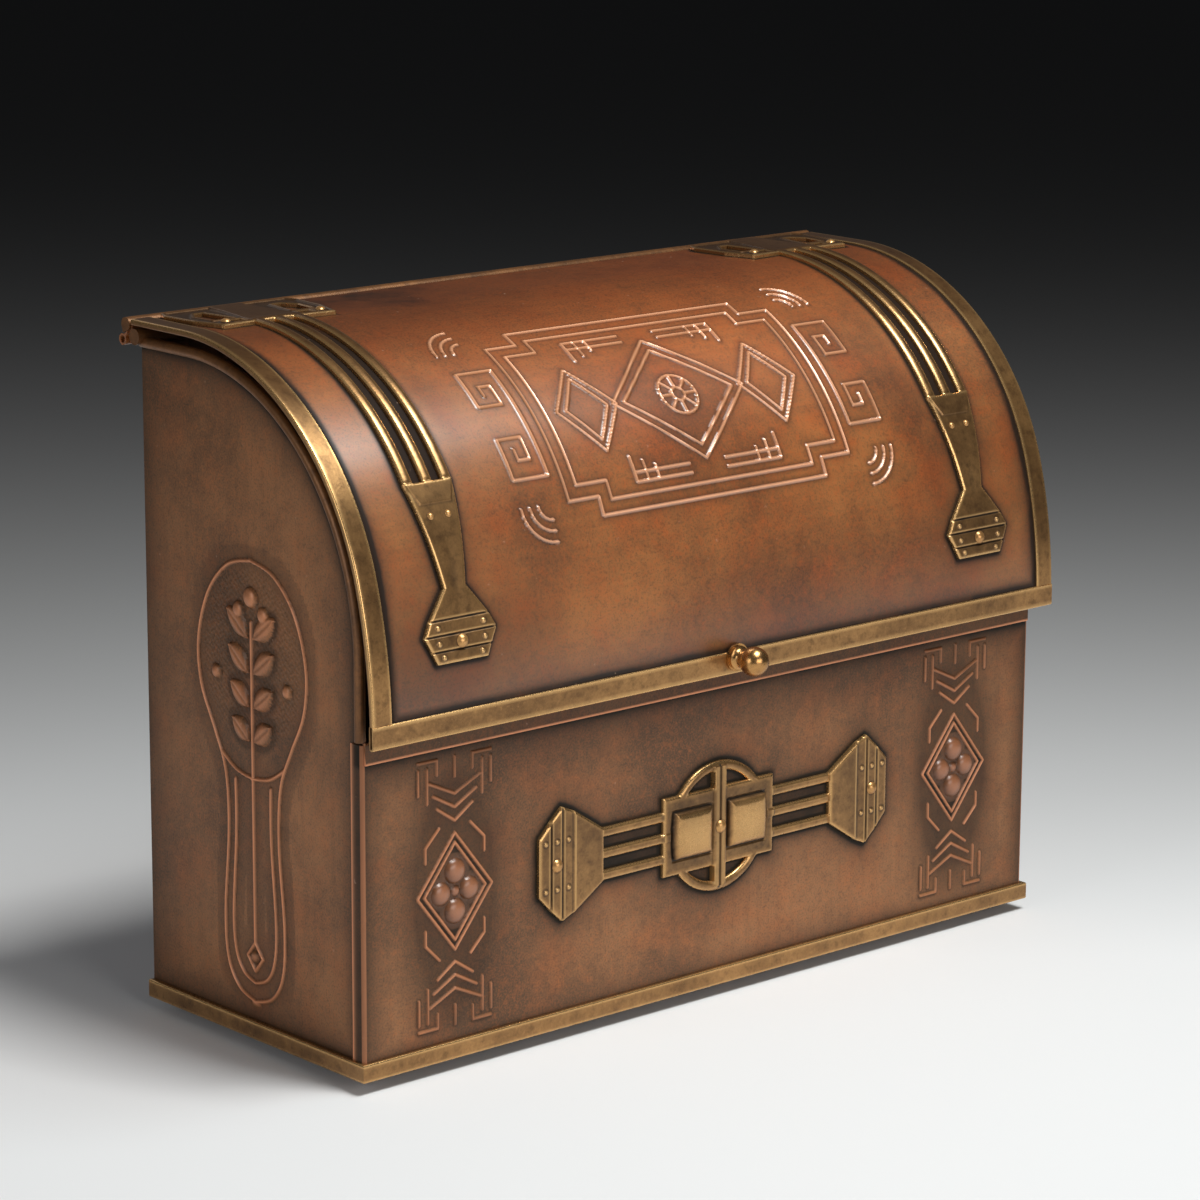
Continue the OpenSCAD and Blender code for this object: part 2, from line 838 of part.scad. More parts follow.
// Half outline of an end plate in X and height from the centre line
module end_plate() {
    polygon([
        [neck_x, -neck_h / 2], [end_step, -end_h / 2 + inner_drop], [end_wide, -end_h / 2],
        [end_groove_out, -end_h / 2 + outer_drop], [mount_w / 2, -end_edge_h / 2],
        [mount_w / 2, end_edge_h / 2], [end_groove_out, end_h / 2 - outer_drop],
        [end_wide, end_h / 2], [end_step, end_h / 2 - inner_drop], [neck_x, neck_h / 2]
    ]);
}

// Places children in the mount's own frame: X along the front, Y up, Z out of the panel
module on_front() {
    translate([0, front_y, mount_z])
        rotate([90, 0, 0])
            children();
}

module domed_pad(w, h, rise) {
    dome_r = (pow(w / 2, 2) + pow(rise, 2)) / (2 * rise);
    edge = 0.8;
    intersection() {
        translate([-w / 2, -h / 2, 0]) cube([w, h, rise + edge]);
        translate([0, 0, rise + edge - dome_r])
            rotate([90, 0, 0]) cylinder(h = 2 * h, r = dome_r, center = true, $fn = 128);
        translate([0, 0, rise + edge - dome_r])
            rotate([0, 90, 0]) cylinder(h = 2 * w, r = dome_r, center = true, $fn = 128);
    }
}

module mount_half() {
    pad_x = rib_gap / 2 + rib_w + pad_inset + pad_w / 2;
    linear_extrude(mount_t) {
        end_plate();
        for (i = [-1, 0, 1])
            translate([plate_w / 2 - over, i * (neck_h - mount_bar_h) / 2 - mount_bar_h / 2])
                square([neck_x - plate_w / 2 + 2 * over, mount_bar_h]);
        translate([0, -plate_h / 2]) square([plate_w / 2, plate_h]);
    }
    // The centre rib, one side of its groove
    translate([rib_gap / 2, -ring_r + ring_band / 2, 0])
        cube([rib_w, 2 * ring_r - ring_band, mount_t + rib_rise]);
    translate([pad_x, 0, mount_t - seat_gap]) domed_pad(pad_w, pad_w * 0.97, pad_rise);
    for (x = [end_outer, end_mid, end_inner], y = [-dot_up, dot_up])
        translate([x, y, mount_t - seat_gap]) dome(dot_r);
}

module front_mount() {
    color(brass) difference() {
        on_front() {
            both_sides() mount_half();
            difference() {
                cylinder(h = mount_t, r = ring_r);
                translate([0, 0, -over]) cylinder(h = mount_t + 2 * over, r = ring_r - ring_band);
            }
            translate([-over, -ring_r + ring_band / 2, 0])
                cube([2 * over, 2 * ring_r - ring_band, mount_t]);
        }
        on_front()
            for (x = [end_step, end_wide, end_groove_out], sx = [-1, 1])
                translate([sx * x, 0, mount_t])
                    cube([groove_w, 2 * end_h, 2 * groove_deep], center = true);
        mount_rivet_places() rivet_hole(sheet_t + mount_t);
    }
}

// Children on the mount's outer face, on every rivet's axis
module mount_rivet_places() {
    on_front()
        for (x = [-1, 0, 1])
            translate([x * end_mid, 0, mount_t + (x == 0 ? rib_rise : 0)]) children();
}

module mount_rivets() {
    color(brass) on_front() {
        for (x = [-1, 1])
            translate([x * end_mid, 0, mount_t]) rivet(big_head, mount_t + sheet_t + seat_gap);
        translate([0, 0, mount_t + rib_rise])
            rivet(big_head, mount_t + rib_rise + sheet_t + seat_gap);
    }
}

// ---- Knob ----

// Places children on the knob's axis, with +Z out of the lid
module on_knob() {
    translate([0, knob_face_y, knob_z])
        rotate([90, 0, 0])
            children();
}

module knob_hole() {
    on_knob()
        translate([0, 0, -sheet_t - 4 * trim_t])
            cylinder(h = sheet_t + 6 * trim_t, r = stud_r + rivet_clear);
}

module knob() {
    neck_r = ball_d * 0.26;
    neck_from = rim_t + ring_t;
    cove_r = ball_out - ball_d / 2 - neck_from + 0.2;
    shoulder = collar_d / 2 - ring_inset;
    stack = sheet_t + 2 * trim_t + washer_t + nut_t + stud_end;
    color(brass) on_knob() {
        rotate_extrude() {
            square([collar_d / 2, rim_t]);
            square([shoulder, neck_from]);
            // A hollow curve from the ring to the neck
            difference() {
                translate([0, neck_from - seat_gap])
                    square([min(neck_r + 0.62 * cove_r, shoulder), cove_r + seat_gap]);
                translate([neck_r + cove_r, neck_from + cove_r]) circle(cove_r);
            }
            square([neck_r, ball_out]);
            intersection() {
                translate([0, ball_out]) circle(ball_d / 2);
                translate([0, ball_out - ball_d]) square([ball_d, 2 * ball_d]);
            }
        }
        translate([0, 0, -stack]) cylinder(h = stack + rim_t / 2, r = stud_r);
    }
}

module knob_washer() {
    color(brass) on_knob()
        translate([0, 0, -sheet_t - 2 * trim_t - washer_gap - washer_t])
            difference() {
                cylinder(h = washer_t, r = washer_r);
                translate([0, 0, -over]) cylinder(h = washer_t + 2 * over, r = stud_r + rivet_clear);
            }
}

module knob_nut() {
    color(brass) on_knob()
        translate([0, 0, -sheet_t - 2 * trim_t - washer_gap - washer_t - nut_t - seat_gap])
            difference() {
                cylinder(h = nut_t, r = nut_r, $fn = 6);
                translate([0, 0, -over]) cylinder(h = nut_t + 2 * over, r = stud_r + pin_clear);
            }
}

back_panel();
side_panel_left();
side_panel_right();
front_panel();
floor_panel();
base_moulding();
rear_rod();
side_bead_left();
side_bead_right();
hinge_leaf();
hinge_pin();
front_mount();
mount_rivets();
wall_spacers();
lid_panel();
lid_trim_left();
lid_trim_right();
lid_trim_front();
lid_rear_bar();
strap_left();
strap_right();
strap_rivets();
knob();
knob_washer();
knob_nut();
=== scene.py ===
import functools
import math

import bpy
import numpy as np
from mathutils import Matrix, Vector


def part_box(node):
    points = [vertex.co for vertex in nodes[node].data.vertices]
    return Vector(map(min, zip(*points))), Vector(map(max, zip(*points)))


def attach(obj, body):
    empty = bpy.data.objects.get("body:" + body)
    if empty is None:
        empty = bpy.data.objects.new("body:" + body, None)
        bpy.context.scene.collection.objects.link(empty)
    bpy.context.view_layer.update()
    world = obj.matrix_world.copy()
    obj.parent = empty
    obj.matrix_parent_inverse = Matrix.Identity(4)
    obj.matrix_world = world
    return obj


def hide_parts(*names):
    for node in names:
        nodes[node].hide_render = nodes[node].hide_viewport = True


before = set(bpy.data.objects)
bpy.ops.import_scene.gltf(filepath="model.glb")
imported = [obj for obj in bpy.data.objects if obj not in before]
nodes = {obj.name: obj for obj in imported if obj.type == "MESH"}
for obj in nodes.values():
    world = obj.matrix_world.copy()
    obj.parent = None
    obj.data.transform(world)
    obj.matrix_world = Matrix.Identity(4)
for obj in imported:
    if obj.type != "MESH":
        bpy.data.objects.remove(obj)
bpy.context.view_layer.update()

MM = 0.001

# ---- Sizes in millimetres, from the CAD nodes where they have them ----


def reach(node):
    """Lowest and highest corner of a CAD node, in millimetres."""
    low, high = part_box(node)
    return np.array(low) / MM, np.array(high) / MM


SHEET = 1.0
GAP = 0.05

FRONT_LOW, FRONT_HIGH = reach("front_panel")
SIDE_LOW, SIDE_HIGH = reach("side_panel_right")
TRIM_HIGH = reach("lid_trim_right")[1]
EDGE_LOW = reach("lid_trim_front")[0]
MOULD_LOW, MOULD_HIGH = reach("base_moulding")
BAR_LOW, BAR_HIGH = reach("lid_rear_bar")
ROD_LOW = reach("rear_rod")[0]
PIN_LOW, PIN_HIGH = reach("hinge_pin")
MOUNT_LOW, MOUNT_HIGH = reach("front_mount")
STRAP_LOW, STRAP_HIGH = reach("strap_right")

FRONT_Y = FRONT_LOW[1] + SHEET
FRONT_X = FRONT_HIGH[0]
FRONT_H = FRONT_HIGH[2]
FLANGE_Y = FRONT_HIGH[1]
BEND_R = 1.6
HEM_H = 9.0
HEM_END = 1.2
MOULD_R = 0.7

SIDE_X = SIDE_HIGH[0]
BACK_Y = SIDE_HIGH[1]
CROWN_Y = 38.5
CROWN_Z = 168.0
SHOULDER_R = SIDE_HIGH[2] - CROWN_Z

LID_HALF = TRIM_HIGH[0]
LID_EDGE_Z = EDGE_LOW[2]
TRIM_T = 0.8
TRIM_W = 9.5
TRIM_BEND = 0.8
LID_R = 115.2
SKIRT_EXTRA = 100.0
SKIRT_R = LID_R + SKIRT_EXTRA
BLEND = math.asin(7 / 25)
SKIRT_Y = CROWN_Y + SKIRT_EXTRA * 24 / 25
SKIRT_Z = CROWN_Z - SKIRT_EXTRA * 7 / 25
LID_FRONT_Y = SKIRT_Y - SKIRT_R
LID_TOP_Z = CROWN_Z + LID_R
S_SKIRT = SKIRT_Z - LID_EDGE_Z
S_CROWN = S_SKIRT + SKIRT_R * BLEND
S_FLAT = S_CROWN + LID_R * (math.pi / 2 - BLEND)
S_END = S_FLAT + 33.0

BAR_R = 2.8
TAIL_R = BAR_R + GAP + SHEET
BAR_Z = BAR_HIGH[2] - BAR_R
BAR_Y = BAR_LOW[1] + BAR_R
LID_REAR_Y = BAR_Y - TAIL_R
HINGE_Y = (PIN_LOW[1] + PIN_HIGH[1]) / 2
HINGE_Z = (PIN_LOW[2] + PIN_HIGH[2]) / 2
KNUCKLE_R = 2.4
KNUCKLE_BORE = 1.5
KNUCKLES = 9
KNUCKLE_GAP = 0.4

STRAP_X = (STRAP_LOW[0] + STRAP_HIGH[0]) / 2
STRAP_T = 1.8
FOOT_W = 36.0
WAIST_W = 11.0
FORK_W = 24.0
SLOT_W = 4.8
PRONG_W = (FORK_W - 2 * SLOT_W) / 3
HORN_W = STRAP_HIGH[0] - STRAP_LOW[0]
S_FOOT = 28.6
S_OUTER_GROOVE = 33.3
S_WIDE = 39.5
S_INNER_GROOVE = 45.4
S_WAIST = 57.5
S_STEP = 90.3
STEP_HALF_W = 7.8
S_SHOULDER = 99.4
HORN_FRONT = CROWN_Y - 4.5
HORN_REAR = LID_REAR_Y - 0.3
HORN_MID = (HORN_FRONT + HORN_REAR) / 2
HORN_RIVET = HORN_W / 2 - 10.3
HORN_BAR = 3.4
WINDOW_IN = FORK_W / 2 + 2
S_RIVET = S_FLAT - 0.5
STRAP_GROOVES = (S_OUTER_GROOVE, S_WIDE, S_INNER_GROOVE)
STRAP_DOTS = [(side * x, s) for side in (-1, 1) for x, s in ((9.6, 31.0), (11.4, 36.4), (11.4, 42.5))]
DIMPLES = [(-4.4, 85.4), (4.4, 85.4)]

MOUNT_Z = (MOUNT_LOW[2] + MOUNT_HIGH[2]) / 2
MOUNT_W = MOUNT_HIGH[0] - MOUNT_LOW[0]
MOUNT_T = 2.0
RING_R = 27.8
RING_BAND = 4.0
PLATE_W = 62.0
PLATE_H = 33.6
PAD_W = 20.6
PAD_RISE = 2.2
END_H = 48.0
END_EDGE_H = 24.0
BAND_W = 6.1
END_STEP = MOUNT_W / 2 - 3 * BAND_W
END_WIDE = MOUNT_W / 2 - 2 * BAND_W
END_GROOVE_OUT = MOUNT_W / 2 - BAND_W
NECK_X = END_STEP - 15.9
OUTER_DROP = 5.6
INNER_DROP = 2.6
NECK_H = 22.0
MOUNT_BAR_H = 3.8
RIB_X = 3.4
DOT_R = 1.15
DOT_RISE = 0.7
GROOVE_W = 1.1
GROOVE_DEPTH = 0.7
STRAP_SOFT_R = 1.1
STRAP_CELL = 0.33
MOUNT_SOFT_R = 1.2
MOUNT_CELL = 0.3

LID_ART_S = 120.0
LID_FINE_X = 106.0
LID_FINE_S = 54.0
LID_LINE_W = 1.3
COLUMN_X = 141.0
COLUMN_Z = 69.0
COLUMN_HALF_W = 23.0
COLUMN_HALF_H = 59.5
COLUMN_LINE_W = 1.5
DIAMOND_W = 19.0
DIAMOND_H = 24.0
SIDE_LINE_W = 1.6
LID_RISE = 0.7
COLUMN_RISE = 0.8
SIDE_RISE = 0.9
SPRIG_Z = 157.0
SPRIG_R = 35.0

# ---- Shader arithmetic ----


class Signal:
    """A socket that can be used in arithmetic with numbers and other sockets."""

    def __init__(self, finish, socket):
        self.finish = finish
        self.socket = socket

    def math(self, operation, first, second=0.0, clamp=False):
        settings = {"operation": operation, "use_clamp": clamp}
        return self.finish.add("ShaderNodeMath", settings, {0: first, 1: second})

    def __add__(self, other):
        return self.math("ADD", self, other)

    def __radd__(self, other):
        return self.math("ADD", other, self)

    def __sub__(self, other):
        return self.math("SUBTRACT", self, other)

    def __rsub__(self, other):
        return self.math("SUBTRACT", other, self)

    def __mul__(self, other):
        return self.math("MULTIPLY", self, other)

    def __rmul__(self, other):
        return self.math("MULTIPLY", other, self)

    def __pow__(self, other):
        return self.math("POWER", self, other)

    def clamped(self):
        return self.math("ADD", self, 0.0, clamp=True)

    def between(self, low, high):
        """0 at low and 1 at high, with a straight rise between them."""
        settings = {"clamp": True}
        sockets = {"Value": self, "From Min": low, "From Max": high}
        return self.finish.add("ShaderNodeMapRange", settings, sockets)


class Finish:
    """A material and the one way in which nodes are added to it."""

    def __init__(self, name):
        self.material = bpy.data.materials.new(name)
        self.material.use_nodes = True
        self.tree = self.material.node_tree
        self.tree.nodes.clear()

    def feed(self, socket, value):
        if isinstance(value, Signal):
            self.tree.links.new(value.socket, socket)
        else:
            socket.default_value = value

    def add(self, kind, settings=None, sockets=None, out=0):
        node = self.tree.nodes.new(kind)
        for key, value in (settings or {}).items():
            setattr(node, key, value)
        for key, value in (sockets or {}).items():
            self.feed(node.inputs[key], value)
        return Signal(self, node.outputs[out]) if node.outputs else None

    def place(self):
        """Position on the piece, in metres."""
        return self.add("ShaderNodeTexCoord", out="Object")

    def mark(self, name):
        """A value kept on the mesh's points."""
        return self.add("ShaderNodeAttribute", {"attribute_name": name}, out="Fac")

    def noise(self, scale, detail=3.0, rough=0.55, stretch=(1, 1, 1), shift=0.0):
        vector = self.add(
            "ShaderNodeMapping", {},
            {"Vector": self.place(), "Scale": stretch, "Location": (shift, shift, shift)},
        )
        sockets = {"Vector": vector, "Scale": scale, "Detail": detail, "Roughness": rough}
        return self.add("ShaderNodeTexNoise", {}, sockets)

    def mix(self, factor, first, second):
        settings = {"data_type": "RGBA", "clamp_factor": True}
        return self.add("ShaderNodeMix", settings, {0: factor, 6: first, 7: second}, out=2)

    def bump(self, height, strength, distance):
        sockets = {"Height": height, "Strength": strength, "Distance": distance}
        return self.add("ShaderNodeBump", {}, sockets)

    def surface(self, **sockets):
        named = {key.replace("_", " "): value for key, value in sockets.items()}
        shader = self.add("ShaderNodeBsdfPrincipled", {}, named)
        self.add("ShaderNodeOutputMaterial", {}, {"Surface": shader})
        return self.material


def tone(red, green, blue):
    """A colour given on the display's scale of 0 to 255."""
    linear = [((c / 255 + 0.055) / 1.055) ** 2.4 if c > 10 else c / 255 / 12.92 for c in (red, green, blue)]
    return (*linear, 1.0)


# ---- Finishes ----

SPECK_TONE = (196, 160, 138)
GROOVE_TONE = (20, 14, 9)
ALONG_HEIGHT = (1.0, 1.0, 0.05)
ALONG_WIDTH = (0.05, 1.0, 1.0)


def aged_copper(name, warm, deep, ember, patina, bright, brush, rough, metal, coat, glow_coat):
    f = Finish(name)
    warm, deep, ember, patina, bright = (tone(*shade) for shade in (warm, deep, ember, patina, bright))
    cloud = f.noise(11, 5, 0.6)
    blotch = f.noise(42, 4, 0.62, shift=0.37)
    fleck = f.noise(330, 4, 0.7, shift=0.93)
    grain = f.noise(1150, 3, 0.6)
    streak = f.noise(260, 3, 0.6, stretch=brush, shift=0.11)
    speck = f.noise(330, 2, 0.5, shift=0.71)
    dark = f.mark("dark")
    ridge = f.mark("ridge")
    glow = f.mark("glow")

    # The dark mark is patina, with painted shade and shadow where the marks put it; the ridge mark below is
    # rubbing, with painted highlights on edges, crests and domes.
    cover = (dark * 1.1 + (cloud - 0.5) * 1.1 * dark + (blotch - 0.5) * 0.8 * dark).clamped()
    colour = f.mix(cloud.between(0.38, 0.62), deep, warm)
    colour = f.mix(blotch.between(0.5, 0.74) * 0.4, colour, ember)
    colour = f.mix(glow * cloud.between(0.25, 0.6), colour, ember)
    colour = f.mix(blotch.between(0.46, 0.26) * 0.45, colour, deep)
    colour = f.mix(fleck.between(0.52, 0.7) * 0.35, colour, ember)
    colour = f.mix(fleck.between(0.48, 0.3) * 0.24, colour, patina)
    colour = f.mix(grain.between(0.5, 0.72) * 0.42, colour, ember)
    colour = f.mix(grain.between(0.5, 0.3) * 0.42, colour, patina)
    colour = f.mix(streak.between(0.5, 0.2) * 0.28, colour, deep)
    colour = f.mix(cover, colour, patina)
    colour = f.mix(speck.between(0.74, 0.8) * 0.3, colour, tone(*SPECK_TONE))
    colour = f.mix((ridge * (0.7 + 0.6 * blotch)).clamped(), colour, bright)

    roughness = rough + (cloud - 0.5) * 0.18 + (grain - 0.5) * 0.12 + dark * 0.12 - ridge * 0.12
    height = grain * 0.25 + streak * 0.4 + blotch * 0.7 + fleck * 0.35
    return f.surface(
        Base_Color=colour,
        Roughness=roughness.clamped(),
        Metallic=(metal - dark * 0.2 + ridge * 0.2).clamped(),
        Specular_IOR_Level=0.15,
        Coat_Weight=((coat + (glow_coat - coat) * glow) * (1 - dark * dark)).clamped(),
        Coat_Roughness=0.3,
        Coat_IOR=1.75,
        Normal=f.bump(height, 0.16, 0.0006),
    )


def aged_brass(name, gold, shade, bright, rough, metal, ember=(112, 70, 36)):
    f = Finish(name)
    gold, shade, bright, ember = (tone(*colour) for colour in (gold, shade, bright, ember))
    cloud = f.noise(28, 5, 0.65)
    blotch = f.noise(230, 4, 0.65, shift=0.29)
    grain = f.noise(900, 3, 0.6)
    dark = f.mark("dark")
    ridge = f.mark("ridge")
    glow = f.mark("glow")

    colour = f.mix(0.25 + 0.6 * cloud.between(0.34, 0.66), shade, gold)
    colour = f.mix(blotch.between(0.5, 0.68) * 0.6, colour, shade)
    colour = f.mix(blotch.between(0.44, 0.3) * 0.5, colour, gold)
    colour = f.mix(grain.between(0.45, 0.75) * 0.35, colour, shade)
    colour = f.mix(glow * (0.55 + 0.5 * cloud), colour, ember)
    # The dark mark is patina, with painted shade and shadow where the marks put it; the ridge mark is rubbing,
    # with painted highlights on edges, crests and domes.
    colour = f.mix((dark * (0.8 + 0.5 * blotch)).clamped(), colour, tone(*GROOVE_TONE))
    colour = f.mix((ridge * (0.5 + 0.7 * blotch)).clamped(), colour, bright)

    roughness = rough + (cloud - 0.5) * 0.16 + (grain - 0.5) * 0.14 + dark * 0.2 - ridge * 0.08
    height = grain * 0.3 + blotch * 0.7
    return f.surface(
        Base_Color=colour,
        Roughness=roughness.clamped(),
        Metallic=(metal - dark * 0.3).clamped(),
        Coat_Weight=0.2,
        Coat_Roughness=0.35,
        Normal=f.bump(height, 0.2, 0.0005),
    )


def plain_steel(name):
    f = Finish(name)
    grain = f.noise(500, 3, 0.6)
    cloud = f.noise(60, 3, 0.6)
    colour = f.mix(cloud, tone(88, 84, 80), tone(146, 142, 136))
    return f.surface(
        Base_Color=colour,
        Roughness=0.3 + grain * 0.2,
        Metallic=1.0,
        Normal=f.bump(grain, 0.1, 0.0004),
    )


BODY_COPPER = aged_copper(
    "body_copper",
    warm=(162, 112, 72), deep=(104, 72, 46), ember=(188, 108, 56), patina=(34, 28, 21), bright=(228, 152, 108),
    brush=ALONG_HEIGHT, rough=0.5, metal=0.34, coat=0.25, glow_coat=1.0,
)
LID_COPPER = aged_copper(
    "lid_copper_sheet",
    warm=(162, 104, 54), deep=(104, 62, 30), ember=(174, 78, 20), patina=(32, 19, 9), bright=(228, 164, 122),
    brush=ALONG_WIDTH, rough=0.52, metal=0.14, coat=1.0, glow_coat=0.4,
)
INNER_COPPER = aged_copper(
    "inner_copper",
    warm=(140, 92, 66), deep=(96, 66, 50), ember=(160, 100, 68), patina=(64, 56, 48), bright=(200, 130, 96),
    brush=ALONG_HEIGHT, rough=0.5, metal=0.45, coat=0.3, glow_coat=0.3,
)
BRASS = aged_brass("aged_brass", (188, 141, 87), (98, 68, 39), (248, 198, 130), rough=0.31, metal=0.85)
WORN_BRASS = aged_brass("worn_brass", (222, 170, 104), (158, 112, 66), (240, 206, 156), rough=0.33, metal=0.7)
TURNED_BRASS = aged_brass(
    "turned_brass", (206, 154, 92), (128, 92, 56), (240, 206, 156), rough=0.24, metal=0.95,
)
BROWN_BRASS = aged_brass(
    "brown_brass", (142, 94, 52), (82, 54, 32), (220, 170, 116), rough=0.42, metal=0.6, ember=(118, 74, 38),
)
PIN_STEEL = plain_steel("hinge_pin_steel")

# ---- Mesh building, in millimetres ----


def piece(name, points, quads, rings=(), marks=None, body="box", slot="copper", finish=BODY_COPPER, sharp=34):
    """A mesh from points, an array of quads and any polygons of other sizes."""
    mesh = bpy.data.meshes.new(name)
    quads = np.asarray(quads, int).reshape(-1, 4)
    corners = [quads.ravel()] + [np.asarray(ring, int) for ring in rings]
    totals = np.concatenate([np.full(len(quads), 4), [len(ring) for ring in rings]]).astype(int)
    starts = np.concatenate([[0], np.cumsum(totals)[:-1]]).astype(int)
    loops = np.concatenate(corners).astype(int)
    mesh.vertices.add(len(points))
    mesh.vertices.foreach_set("co", (np.asarray(points, float) * MM).astype(np.float32).ravel())
    mesh.loops.add(len(loops))
    mesh.loops.foreach_set("vertex_index", loops.astype(np.int32))
    mesh.polygons.add(len(totals))
    mesh.polygons.foreach_set("loop_start", starts.astype(np.int32))
    mesh.polygons.foreach_set("use_smooth", np.ones(len(totals), bool))
    mesh.update(calc_edges=True)
    mesh.validate()
    mesh.set_sharp_from_angle(angle=math.radians(sharp))
    for key, values in (marks or {}).items():
        layer = mesh.attributes.new(key, "FLOAT", "POINT")
        layer.data.foreach_set("value", np.clip(values, 0, 1).astype(np.float32).ravel())
    mesh.materials.append(finish)
    made = bpy.data.objects.new(name, mesh)
    bpy.context.scene.collection.objects.link(made)
    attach(made, body)
    return made


def volume(points, quads):
    """Signed volume enclosed by quads, positive when they face outwards."""
    a, b, c, d = (points[quads[:, i]] for i in range(4))
    parts = np.einsum("ij,ij->i", a, np.cross(b, c)) + np.einsum("ij,ij->i", a, np.cross(c, d))
    return float(parts.sum() / 6)


def grid_quads(index):
    return np.stack([index[:-1, :-1], index[1:, :-1], index[1:, 1:], index[:-1, 1:]], -1).reshape(-1, 4)


INNER_RELIEF = 0.9
# How much of every mark, painted highlight and shade included, the sheets' inner faces keep.
INNER_MARK_SHARE = 0.3


def coarse_steps(count, step):
    """Every step-th index, always with the last one."""
    picked = list(range(0, count, step))
    if picked[-1] != count - 1:
        picked.append(count - 1)
    return np.array(picked)


def sheet(name, face, normal, thickness, lift, marks, step=3, **options):
    """A closed sheet: a fine outer face, a coarser inner face and a rim between them.

    face and normal are (rows, columns, 3), and lift is the height of the relief."""
    rows, cols = lift.shape
    outer = face + normal * lift[..., None]
    r = coarse_steps(rows, step)
    c = coarse_steps(cols, step)
    soft = lift.copy()
    for _ in range(2):
        beside = soft[:-2, 1:-1] + soft[2:, 1:-1] + soft[1:-1, :-2] + soft[1:-1, 2:]
        soft[1:-1, 1:-1] = (beside + soft[1:-1, 1:-1]) / 5
    thick = np.broadcast_to(np.asarray(thickness, float), lift.shape)
    inner = (face + normal * (INNER_RELIEF * soft - thick)[..., None])[np.ix_(r, c)]
    index_out = np.arange(rows * cols).reshape(rows, cols)
    index_in = rows * cols + np.arange(len(r) * len(c)).reshape(len(r), len(c))
    points = np.concatenate([outer.reshape(-1, 3), inner.reshape(-1, 3)])
    quads = np.concatenate([grid_quads(index_out), grid_quads(index_in)[:, ::-1]])
    flip = volume(points, quads) < 0
    rings = []
    sides = (
        (index_out[:, 0], index_in[:, 0], r, False), (index_out[:, -1], index_in[:, -1], r, True),
        (index_out[0, :], index_in[0, :], c, True), (index_out[-1, :], index_in[-1, :], c, False),
    )
    for fine_line, coarse_line, picks, turned in sides:
        for k in range(len(picks) - 1):
            chain = list(fine_line[picks[k]:picks[k + 1] + 1])
            ring = chain[::-1] + [coarse_line[k], coarse_line[k + 1]]
            rings.append(ring[::-1] if turned != flip else ring)
    if flip:
        quads = quads[:, ::-1]
    all_marks = {
        key: np.concatenate([v.ravel(), INNER_MARK_SHARE * v[np.ix_(r, c)].ravel()]) for key, v in marks.items()
    }
    return piece(name, points, quads, rings, all_marks, **options)


def loft(name, stations, marks=None, **options):
    """A closed tube through a row of sections, with both ends closed."""
    n, k = stations.shape[:2]
    index = np.arange(n * k).reshape(n, k)
    quads = grid_quads(np.concatenate([index, index[:, :1]], 1))
    flat = stations.reshape(-1, 3)
    ends = [list(index[0]), list(index[-1])[::-1]]
    if volume(flat - flat.mean(0), quads) < 0:
        quads = quads[:, ::-1]
    else:
        ends = [ring[::-1] for ring in ends]
    all_marks = {key: np.broadcast_to(v, (n, k)).ravel() for key, v in (marks or {}).items()}
    return piece(name, flat, quads, ends, all_marks, **options)


def sweep(name, section, origins, first, second, marks=None, **options):
    """A closed section carried along a line of stations, drawn on two axes."""
    section = np.asarray(section, float)
    first, second = (np.broadcast_to(axis, origins.shape)[:, None, :] for axis in (first, second))
    stations = origins[:, None, :] + section[None, :, :1] * first + section[None, :, 1:] * second
    return loft(name, stations, marks, **options)


def arc(x, y, r, start, stop, count):
    """Points on a round bend, between two angles in degrees."""
    return [(x + r * math.cos(a), y + r * math.sin(a)) for a in np.radians(np.linspace(start, stop, count))]


# ---- Marks, which carry wear, patina, painted highlight and painted shade on the points ----


def ramp(value, low, high):
    """0 below low, 1 above high and a smooth rise between them."""
    t = np.clip((value - low) / (high - low), 0, 1)
    return t * t * (3 - 2 * t)


def blur(distance, width):
    """1 on a line, fading to both sides."""
    return np.exp(-(distance / width) ** 2)


def fading(distance, strength, fall):
    """Full strength up to an edge, then fading with the distance beyond it."""
    return strength * np.exp(-np.clip(distance, 0, None) / fall)


def patch(across, along):
    """1 in the middle of an oval patch, fading outwards. The offsets are in units of its widths."""
    return np.exp(-across ** 2 - along ** 2)


def most(*marks):
    """The strongest of several marks at each point."""
    return functools.reduce(np.maximum, marks)


# ---- Distance fields, in millimetres on a flat drawing ----


def to_polygon(px, py, corners):
    """Distance to a polygon's outline, positive inside."""
    corners = np.asarray(corners, float)
    best = np.full(px.shape, 1e9)
    inside = np.zeros(px.shape, bool)
    for (ax, ay), (bx, by) in zip(corners, np.roll(corners, -1, 0)):
        ex, ey = bx - ax, by - ay
        t = np.clip(((px - ax) * ex + (py - ay) * ey) / (ex * ex + ey * ey), 0, 1)
        best = np.minimum(best, np.hypot(px - ax - t * ex, py - ay - t * ey))
        crosses = ((ay > py) != (by > py)) & (px < ex * (py - ay) / (ey if ey else 1e-9) + ax)
        inside ^= crosses
    return np.where(inside, best, -best)


def to_box(px, py, x0, x1, y0, y1):
    dx = np.maximum(x0 - px, px - x1)
    dy = np.maximum(y0 - py, py - y1)
    outside = np.hypot(np.maximum(dx, 0), np.maximum(dy, 0))
    return -(outside + np.minimum(np.maximum(dx, dy), 0))


def to_disc(px, py, x, y, r):
    return r - np.hypot(px - x, py - y)


def dome(px, py, x, y, r, rise):
    """Height of a round dome."""
    q = np.clip(1 - ((px - x) ** 2 + (py - y) ** 2) / (r * r), 0, 1)
    return rise * np.sqrt(q)


